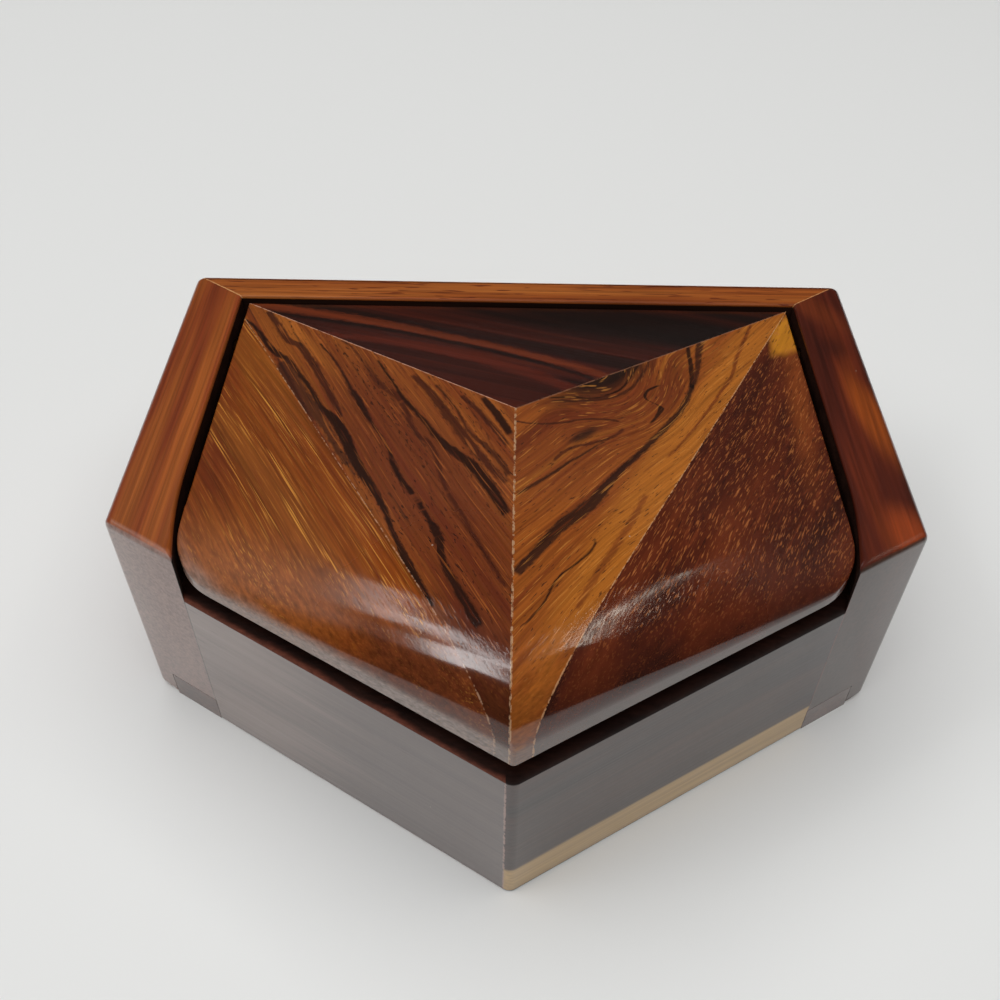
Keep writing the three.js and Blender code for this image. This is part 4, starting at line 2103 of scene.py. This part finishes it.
def right_side_wood(case: Case) -> WoodFinish:
    """Dark red-brown with orange patches.

    Args:
        case: The case, for its joints.

    Returns:
        The finish.
    """
    return WoodFinish(
        name="right_side_wood", grain_angle=90.0, grain_tilt=25.0,
        stops=(
            (0.3, (78, 30, 20)), (0.46, (98, 38, 24)), (0.6, (118, 46, 24)),
            (0.76, (150, 64, 26)),
        ),
        period=4.0, length=50.0, wander=1.0,
        zones=(
            Zone((54.2, 13.0), 10.0, 2.0, -84.0, (186, 88, 24), 0.85, 0.5),
            Zone((53.4, -13.0), 4.6, 2.6, -84.0, (182, 76, 26), 0.85, 0.7),
            Zone((51.0, 41.0), 8.0, 2.4, -60.0, (150, 66, 28), 0.55, 0.6),
            Zone((52.6, 29.0), 3.0, 2.0, -84.0, (64, 26, 22), 0.6, 0.7),
        ),
        seams=(
            Seam(case.mitre(Side.RIGHT), *RIGHT_MITRE),
            Seam(case.end_joint(Side.RIGHT), *RIGHT_END),
        ),
        coat_roughness=0.28, tone=0.55,
        # Dim grey-brown end face: painted reflection of the table, dimmer on this side.
        painted_end_reflection=EndFace(case.front_face(Side.RIGHT), (84, 62, 52)),
        seed=3.1,
    )


def left_front_wood(case: Case) -> WoodFinish:
    """Dark brown front wall, painted pale grey as a reflection of the pale table, with faint lines.

    Args:
        case: The case, for its joints.

    Returns:
        The finish.
    """
    return WoodFinish(
        name="left_front_wood", grain_angle=-31.1, grain_tilt=80.0,
        # Pale grey stops and the raised tone: painted reflection of the pale table.
        stops=(
            (0.3, (110, 92, 86)), (0.5, (124, 106, 99)), (0.72, (136, 117, 109)),
        ),
        period=4.0, length=70.0, wander=0.8, hair_contrast=0.12,
        # Painted reflection made darker towards the tip.
        zones=(Zone((-8.0, -42.0), 22.0, 30.0, -31.0, (84, 70, 66), 0.85, 0.6),),
        marks=(Dashes((50, 28, 26), 4.0, 0.35, 0.22, 0.3, 0.08),),
        seams=(
            Seam(case.tip_joint(), *FRONT_TIP),
            Seam(case.end_joint(Side.LEFT), *LEFT_END),
        ),
        tone=1.12, seed=7.7,
    )


def right_front_wood(case: Case) -> WoodFinish:
    """Dark brown front wall with a pale sapwood band along its foot.

    Args:
        case: The case, for its joints.

    Returns:
        The finish.
    """
    return WoodFinish(
        name="right_front_wood", grain_angle=31.1, grain_tilt=80.0,
        stops=(
            (0.3, (48, 28, 24)), (0.5, (64, 38, 32)), (0.72, (80, 48, 36)),
        ),
        period=4.0, length=70.0, wander=0.8, hair_contrast=0.18,
        band=HeightBand(6.6, 0.0, (232, 190, 126)),
        seams=(
            Seam(case.tip_joint(), *FRONT_TIP),
            Seam(case.end_joint(Side.RIGHT), *RIGHT_END),
        ),
        coat=0.7, tone=0.68, seed=1.9,
    )


def dull_shaded_edge_wood(case: Case, side: Side) -> WoodFinish:
    """Sanded but unpolished top of a front wall, painted near black as the shade under the lid; the left
    one has a redder painted lit rim along its outer edge.

    Args:
        case: The case, for its sizes.
        side: Side of the wall.

    Returns:
        The finish.
    """
    edge_height = 0.7
    top = case.sizes.front_wall_top - edge_height
    # Painted light: a redder lit rim along the left wall's outer edge, outside the lid's shade.
    painted_lit_rim = HeightBand(top, 0.0, (124, 66, 48), 0.85, 0.45)
    return WoodFinish(
        name=f"{side.word}_front_edge_wood",
        grain_angle=0.0,
        # Near-black stops: painted shade under the lid.
        stops=((0.3, (24, 12, 10)), (0.7, (44, 22, 15))),
        band=painted_lit_rim if side is Side.LEFT else None, roughness=0.7, specular=0.15, coat=0.0,
        seed=5.5,
    )


def inner_wood() -> WoodFinish:
    """Unpolished inner face of a full-height wall, painted near black as shade in the narrow gaps under the
    lid.

    Returns:
        The finish.
    """
    return WoodFinish(
        name="inner_wood", grain_angle=0.0,
        # Dark stops: painted shade.
        stops=((0.3, (36, 22, 17)), (0.7, (58, 36, 28))),
        roughness=0.7, specular=0.15, coat=0.0, seed=6.1,
    )


def bottom_wood() -> WoodFinish:
    """Plain brown bottom panel."""
    return WoodFinish(
        name="bottom_wood", grain_angle=0.0,
        stops=((0.3, (92, 62, 52)), (0.7, (116, 80, 66))),
        seed=0.4,
    )


@dataclass
class Lid:
    """The five boards of the faceted lid."""

    sizes: BoxSizes
    effects: WoodEffects
    edge_ease: float = 0.45
    lip_ease: float = 0.5
    corner_ease: float = 0.18
    crisp_tip: float = 2.5
    nose_steps: int = 40
    roof_slices: int = 19
    corner_steps: int = 12

    def __post_init__(self) -> None:
        """Set out the joints."""
        self.plan = LidPlan(self.sizes)

    def outline(self) -> list[Point]:
        """Outline of the lid."""
        radii = (self.sizes.lid_tip_radius, self.sizes.lid_corner_radius, 0.0)
        return self.sizes.outline(self.sizes.lid_x, self.sizes.lid_back_y, radii, self.corner_steps)

    def roof(self, side: Side) -> BMesh:
        """Half of the roof: it falls sideways from the ridge and has a rounded nose in front.

        Args:
            side: Side of the half.

        Returns:
            A long closed solid, to be sawn to the boards.
        """
        size = self.sizes
        sign = side.value
        reach = 2 * (size.half_width + size.back_y)
        turns = [math.pi / 2 * step / self.nose_steps for step in range(self.nose_steps + 1)]
        depths = [size.nose_depth * (1 - math.cos(turn)) for turn in turns]
        bm = bmesh.new()
        rows = []
        for step in range(self.roof_slices + 1):
            x = sign * ((size.half_width + OVERRUN) * step / self.roof_slices - OVERRUN)
            outline = [(depth, size.nose_height_at(side, x, depth)) for depth in (*depths, reach)]
            corners = [(0.0, 0.0), *outline, (reach, 0.0)]
            face_y = size.tip_y + sign * x * size.front_sin / size.front_cos
            rows.append([
                bm.verts.new((x, face_y + depth / size.front_cos, z)) for depth, z in corners
            ])
        for near, far in zip(rows, rows[1:]):
            ring = zip(near, [*near[1:], near[0]], [*far[1:], far[0]], far)
            for corners in ring:
                bm.faces.new(corners)
        bm.faces.new(rows[0])
        bm.faces.new(rows[-1])
        bmesh.ops.recalc_face_normals(bm, faces=bm.faces[:])
        return bm

    def _cut_to_lid(self, bm: BMesh, cuts: Iterable[tuple[JointPlane, int]]) -> BMesh:
        """Saw a board to its joints and to the lid, and cut its groove and pin holes.

        Args:
            bm: A long closed solid with the board's top, changed in place.
            cuts: Joints to saw at, each with its waste side: 1 for its right, -1 for its left.

        Returns:
            The same solid.
        """
        size = self.sizes
        for joint, waste in cuts:
            saw_joint(bm, joint, waste)
        trim_to_outline(bm, self.outline())
        saw(bm, Vector((0.0, 0.0, size.lid_underside)), Vector((0.0, 0.0, -1.0)))
        bmesh.ops.recalc_face_normals(bm, faces=bm.faces[:])
        far_x = size.half_width + OVERRUN
        half = [
            (far_x, size.front_y(far_x) - OVERRUN),
            (far_x, size.front_y(far_x, size.lip_reach)),
        ]
        mirrored = [(-x, y) for x, y in reversed(half)]
        front = (0.0, size.tip_y - OVERRUN)
        groove = [front, *half, (0.0, size.front_y(0.0, size.lip_reach)), *mirrored]
        carve(bm, prism(groove, 0.0, size.front_wall_top + size.finger_gap))
        hole = size.pin_radius + size.pin_hole_gap
        inner_end = size.lid_x - size.pin_depth_in_lid - size.pin_hole_gap
        for side in Side:
            ends = sorted((side.value * inner_end, side.value * far_x))
            carve(bm, round_bar(hole, *ends, size.hinge_y, size.hinge_z))
        return bm

    def outer_board(self, side: Side) -> BMesh:
        """Board between the seam and the lid's side edge."""
        return self._cut_to_lid(self.roof(side), [(self.plan.seam(side), side.value)])

    def inner_board(self, side: Side) -> BMesh:
        """Board between the ridge and the seam."""
        joints = (self.plan.seam(side), self.plan.hip(side), self.plan.ridge())
        wastes = (-side.value, side.value, side.value)
        return self._cut_to_lid(self.roof(side), zip(joints, wastes))

    def back_board(self) -> BMesh:
        """Board that falls from the apex to the back edge.

        Returns:
            The closed solid.
        """
        size = self.sizes
        front_y = size.apex_y - OVERRUN
        profile = [
            (front_y, 0.0),
            (size.lid_back_y, 0.0),
            (size.lid_back_y, size.lid_edge_top),
            (front_y, size.ridge_top + self.plan.back_fall() * OVERRUN),
        ]
        bm = bmesh.new()
        bm.faces.new([bm.verts.new((-size.half_width, y, z)) for y, z in profile])
        pull_solid(bm, Vector((2 * size.half_width, 0.0, 0.0)))
        return self._cut_to_lid(bm, [(self.plan.hip(side), -side.value) for side in Side])

    def _ease(self, edge: BMEdge) -> float:
        """Width by which an edge of a board is softened.

        Args:
            edge: The edge.

        Returns:
            Its width.
        """
        if lies_in_joint(edge, self.plan.joints()):
            return 0.0
        size = self.sizes
        middle = edge_middle(edge)
        if middle.z < size.lid_underside + JOINT_TOLERANCE:
            return 0.0
        away = Vector((middle.y - size.hinge_y, middle.z - size.hinge_z)).length
        if away < 2 * size.pin_radius:
            return 0.0
        if middle.z < size.front_wall_top + size.finger_gap + JOINT_TOLERANCE:
            in_lip = size.behind_front(middle) < size.lip_reach - JOINT_TOLERANCE
            return self.lip_ease if in_lip else 0.0
        if middle.y < size.tip_y + self.crisp_tip:
            return 0.0
        shoulder = size.front_y(size.lid_x) + size.lid_corner_radius
        return self.corner_ease if middle.y < shoulder else self.edge_ease

    def build(self) -> list[Object]:
        """Build and dress the lid.

        Returns:
            Its pieces.
        """
        plan = self.plan
        boards = (
            ("left_outer_board", self.outer_board(Side.LEFT), left_outer_wood(plan)),
            ("left_inner_board", self.inner_board(Side.LEFT), left_inner_wood(plan)),
            ("right_inner_board", self.inner_board(Side.RIGHT), right_inner_wood(plan)),
            ("right_outer_board", self.outer_board(Side.RIGHT), right_outer_wood(plan)),
            ("back_board", self.back_board(), back_board_wood(plan)),
        )
        pieces = []
        for word, bm, wood in boards:
            made = finish_piece(bm, f"lid_{word}_fine", self._ease)
            pieces.append(dress(made, wood.build(self.effects), Body.LID, f"lid_{word}"))
        return pieces


def dress(piece: Object, material: Material, body: Body, node: str) -> Object:
    """Give a piece its material and put it in its node's place.

    Args:
        piece: The finished piece.
        material: Its material.
        body: Body that it rides on.
        node: Node of the frame that it stands for.

    Returns:
        The piece.
    """
    piece.data.materials.append(material)
    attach(piece, body.value)
    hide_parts(node)
    log.info("%s: %d faces, on %s", piece.name, len(piece.data.polygons), body.value)
    return piece


def second_finish(piece: Object, material: Material, way: Triple, eased: int) -> None:
    """Give the faces of a piece that look one way a second finish.

    Args:
        piece: The finished piece.
        material: The second finish.
        way: The way that those faces look.
        eased: Which of the two finishes the eased edges have, 0 or 1.
    """
    piece.data.materials.append(material)
    for face in piece.data.polygons:
        if face.normal.dot(Vector(way)) > FACING:
            face.material_index = 1
    piece.modifiers["eased_edges"].material = eased


# Setting

def skyward(azimuth: float, elevation: float) -> Vector:
    """Direction at an azimuth from +Y towards +X and an elevation, in degrees.

    Args:
        azimuth: Angle round the box.
        elevation: Angle above the table.

    Returns:
        The unit vector that way.
    """
    turn = math.radians(azimuth)
    rise = math.radians(elevation)
    flat = math.cos(rise)
    return Vector((math.sin(turn) * flat, math.cos(turn) * flat, math.sin(rise)))


def add_object(name: str, data: bpy.types.ID, place: Matrix) -> Object:
    """Put a lamp or a camera in the scene.

    Args:
        name: Its name.
        data: The lamp's or camera's settings.
        place: Its place and turn.

    Returns:
        The new object.
    """
    made = bpy.data.objects.new(name, data)
    made.matrix_world = place
    bpy.context.scene.collection.objects.link(made)
    return made


def area_light(name: str, size: Point, watts: float, color: Triple, place: Matrix) -> Object:
    """Soft rectangular lamp.

    Args:
        name: Its name.
        size: Its width and height, in metres.
        watts: Its power.
        color: Its colour.
        place: Its place and turn.

    Returns:
        The lamp.
    """
    data = bpy.data.lights.new(name, "AREA")
    data.shape = "RECTANGLE"
    data.size, data.size_y = size
    data.energy = watts
    data.color = color
    return add_object(name, data, place)


@dataclass(frozen=True)
class WindowStrip:
    """A bright strip of a window.

    Its ends are azimuth and elevation in degrees, seen from the lid's nose.
    """

    name: str
    start: Point
    end: Point
    thickness: float
    glow: float
    color: Triple = WHITE


@dataclass
class Studio:
    """Pale table, soft lamps and the camera."""

    table_size: float = 3.0
    table_color: Color = (230, 231, 230)
    table_roughness: float = 0.6
    table_specular: float = 0.2
    world_color: Triple = (1.0, 0.86, 0.76)
    world_strength: float = 0.03
    backdrop_strength: float = 0.85
    ceiling_toward: Triple = (-0.07, -0.1, 1.0)
    ceiling_target: Triple = (0.0, 0.0, 0.03)
    ceiling_distance: float = 1.4
    ceiling_size: Point = (2.4, 2.4)
    ceiling_watts: float = 33.2
    lens_pixels: float = 1050.0
    picture_pixels: float = 1000.0
    sensor: float = 36.0
    near_clip: float = 0.005
    camera_place: Triple = (-1.6, -112.0, 143.4)
    pitch: float = 45.25
    yaw: float = -0.36
    roll: float = 0.74
    nose_place: Triple = (0.0, -33.0, 42.0)
    window_distance: float = 2.5
    strips: tuple[WindowStrip, ...] = (
        WindowStrip("left_window_far", (-46.0, 48.5), (-80.0, 50.0), 3.2, 10.0),
        WindowStrip("left_window_middle", (-68.0, 53.0), (-94.0, 53.0), 2.5, 20.0),
        WindowStrip("left_window_near", (-90.0, 51.0), (-106.0, 43.0), 3.2, 28.0),
        WindowStrip("right_window_near", (84.0, 51.2), (66.0, 52.6), 0.8, 26.0, CREAM),
        WindowStrip("right_window_middle", (66.0, 52.6), (53.0, 50.4), 0.8, 32.0, CREAM),
        WindowStrip("right_window_far", (53.0, 50.4), (42.0, 44.0), 0.9, 14.0, CREAM),
    )

    def table(self) -> Object:
        """Flat pale table under the box.

        Returns:
            The table.
        """
        bm = bmesh.new()
        bmesh.ops.create_grid(bm, x_segments=1, y_segments=1, size=self.table_size / 2)
        made = loose_object(bm, "table")
        bm.free()
        material, graph, shader = new_material("pale_table")
        graph.feed_all(shader, {
            "Base Color": linear(self.table_color),
            "Roughness": self.table_roughness,
            "Specular IOR Level": self.table_specular,
        })
        made.data.materials.append(material)
        return made

    def ceiling(self) -> Object:
        """Broad soft lamp overhead, which doesn't show as a reflection.

        Returns:
            The lamp.
        """
        toward = Vector(self.ceiling_toward).normalized()
        middle = toward * self.ceiling_distance + Vector(self.ceiling_target)
        place = Matrix.Translation(middle) @ toward.to_track_quat("Z", "Y").to_matrix().to_4x4()
        made = area_light("ceiling", self.ceiling_size, self.ceiling_watts, WHITE, place)
        made.visible_glossy = False
        return made

    def window(self, strip: WindowStrip) -> Object:
        """Bright strip of a window, far enough off to look the same from the whole lid.

        Args:
            strip: Where it is and how bright it is.

        Returns:
            The lamp.
        """
        start, end = (
            self.window_distance * skyward(*angles) for angles in (strip.start, strip.end)
        )
        middle = (start + end) / 2
        away = middle.normalized()
        along = (end - start).normalized()
        width = (end - start).length
        height = self.window_distance * math.radians(strip.thickness)
        axes = Matrix((along, away.cross(along), away)).transposed().to_4x4()
        place = Matrix.Translation(middle + Vector(self.nose_place) * MM) @ axes
        return area_light(strip.name, (width, height), strip.glow * width * height, strip.color, place)

    def world(self) -> None:
        """Dim warm surroundings, which show as a pale backdrop behind the table."""
        world = bpy.data.worlds.new("surroundings")
        world.use_nodes = True
        graph = Graph(world.node_tree)
        seen = graph.node("LightPath").outputs["Is Camera Ray"]
        color = graph.mix(seen, (*self.world_color, 1.0), linear(self.table_color))
        strength = graph.map_range(seen, 0.0, 1.0, self.world_strength, self.backdrop_strength, False)
        background = world.node_tree.nodes["Background"]
        graph.feed_all(background, {"Color": color, "Strength": strength})
        bpy.context.scene.world = world

    def camera(self) -> Object:
        """Camera at the photograph's viewing angle.

        Returns:
            The camera.
        """
        data = bpy.data.cameras.new("camera")
        data.sensor_width = self.sensor
        data.lens = self.sensor * self.lens_pixels / self.picture_pixels
        data.clip_start = self.near_clip
        yaw = math.radians(self.yaw)
        forward = skyward(self.yaw, -self.pitch)
        level = Vector((math.cos(yaw), -math.sin(yaw), 0.0))
        right = Matrix.Rotation(-math.radians(self.roll), 3, forward) @ level
        axes = Matrix((right, right.cross(forward), -forward)).transposed().to_4x4()
        made = add_object("camera", data, Matrix.Translation(Vector(self.camera_place) * MM) @ axes)
        bpy.context.scene.camera = made
        return made

    def build(self) -> None:
        """Set up the table, the lamps, the surroundings and the camera."""
        bpy.context.scene.view_settings.view_transform = "Standard"
        self.camera()
        self.table()
        self.world()
        for strip in self.strips:
            self.window(strip)
        self.ceiling()


def main() -> None:
    """Build the box and its setting."""
    Studio().build()
    effects = WoodEffects.build()
    sizes = BoxSizes.from_frame()
    Case(sizes, effects).build()
    Lid(sizes, effects).build()


if __name__ == "__main__":
    main()
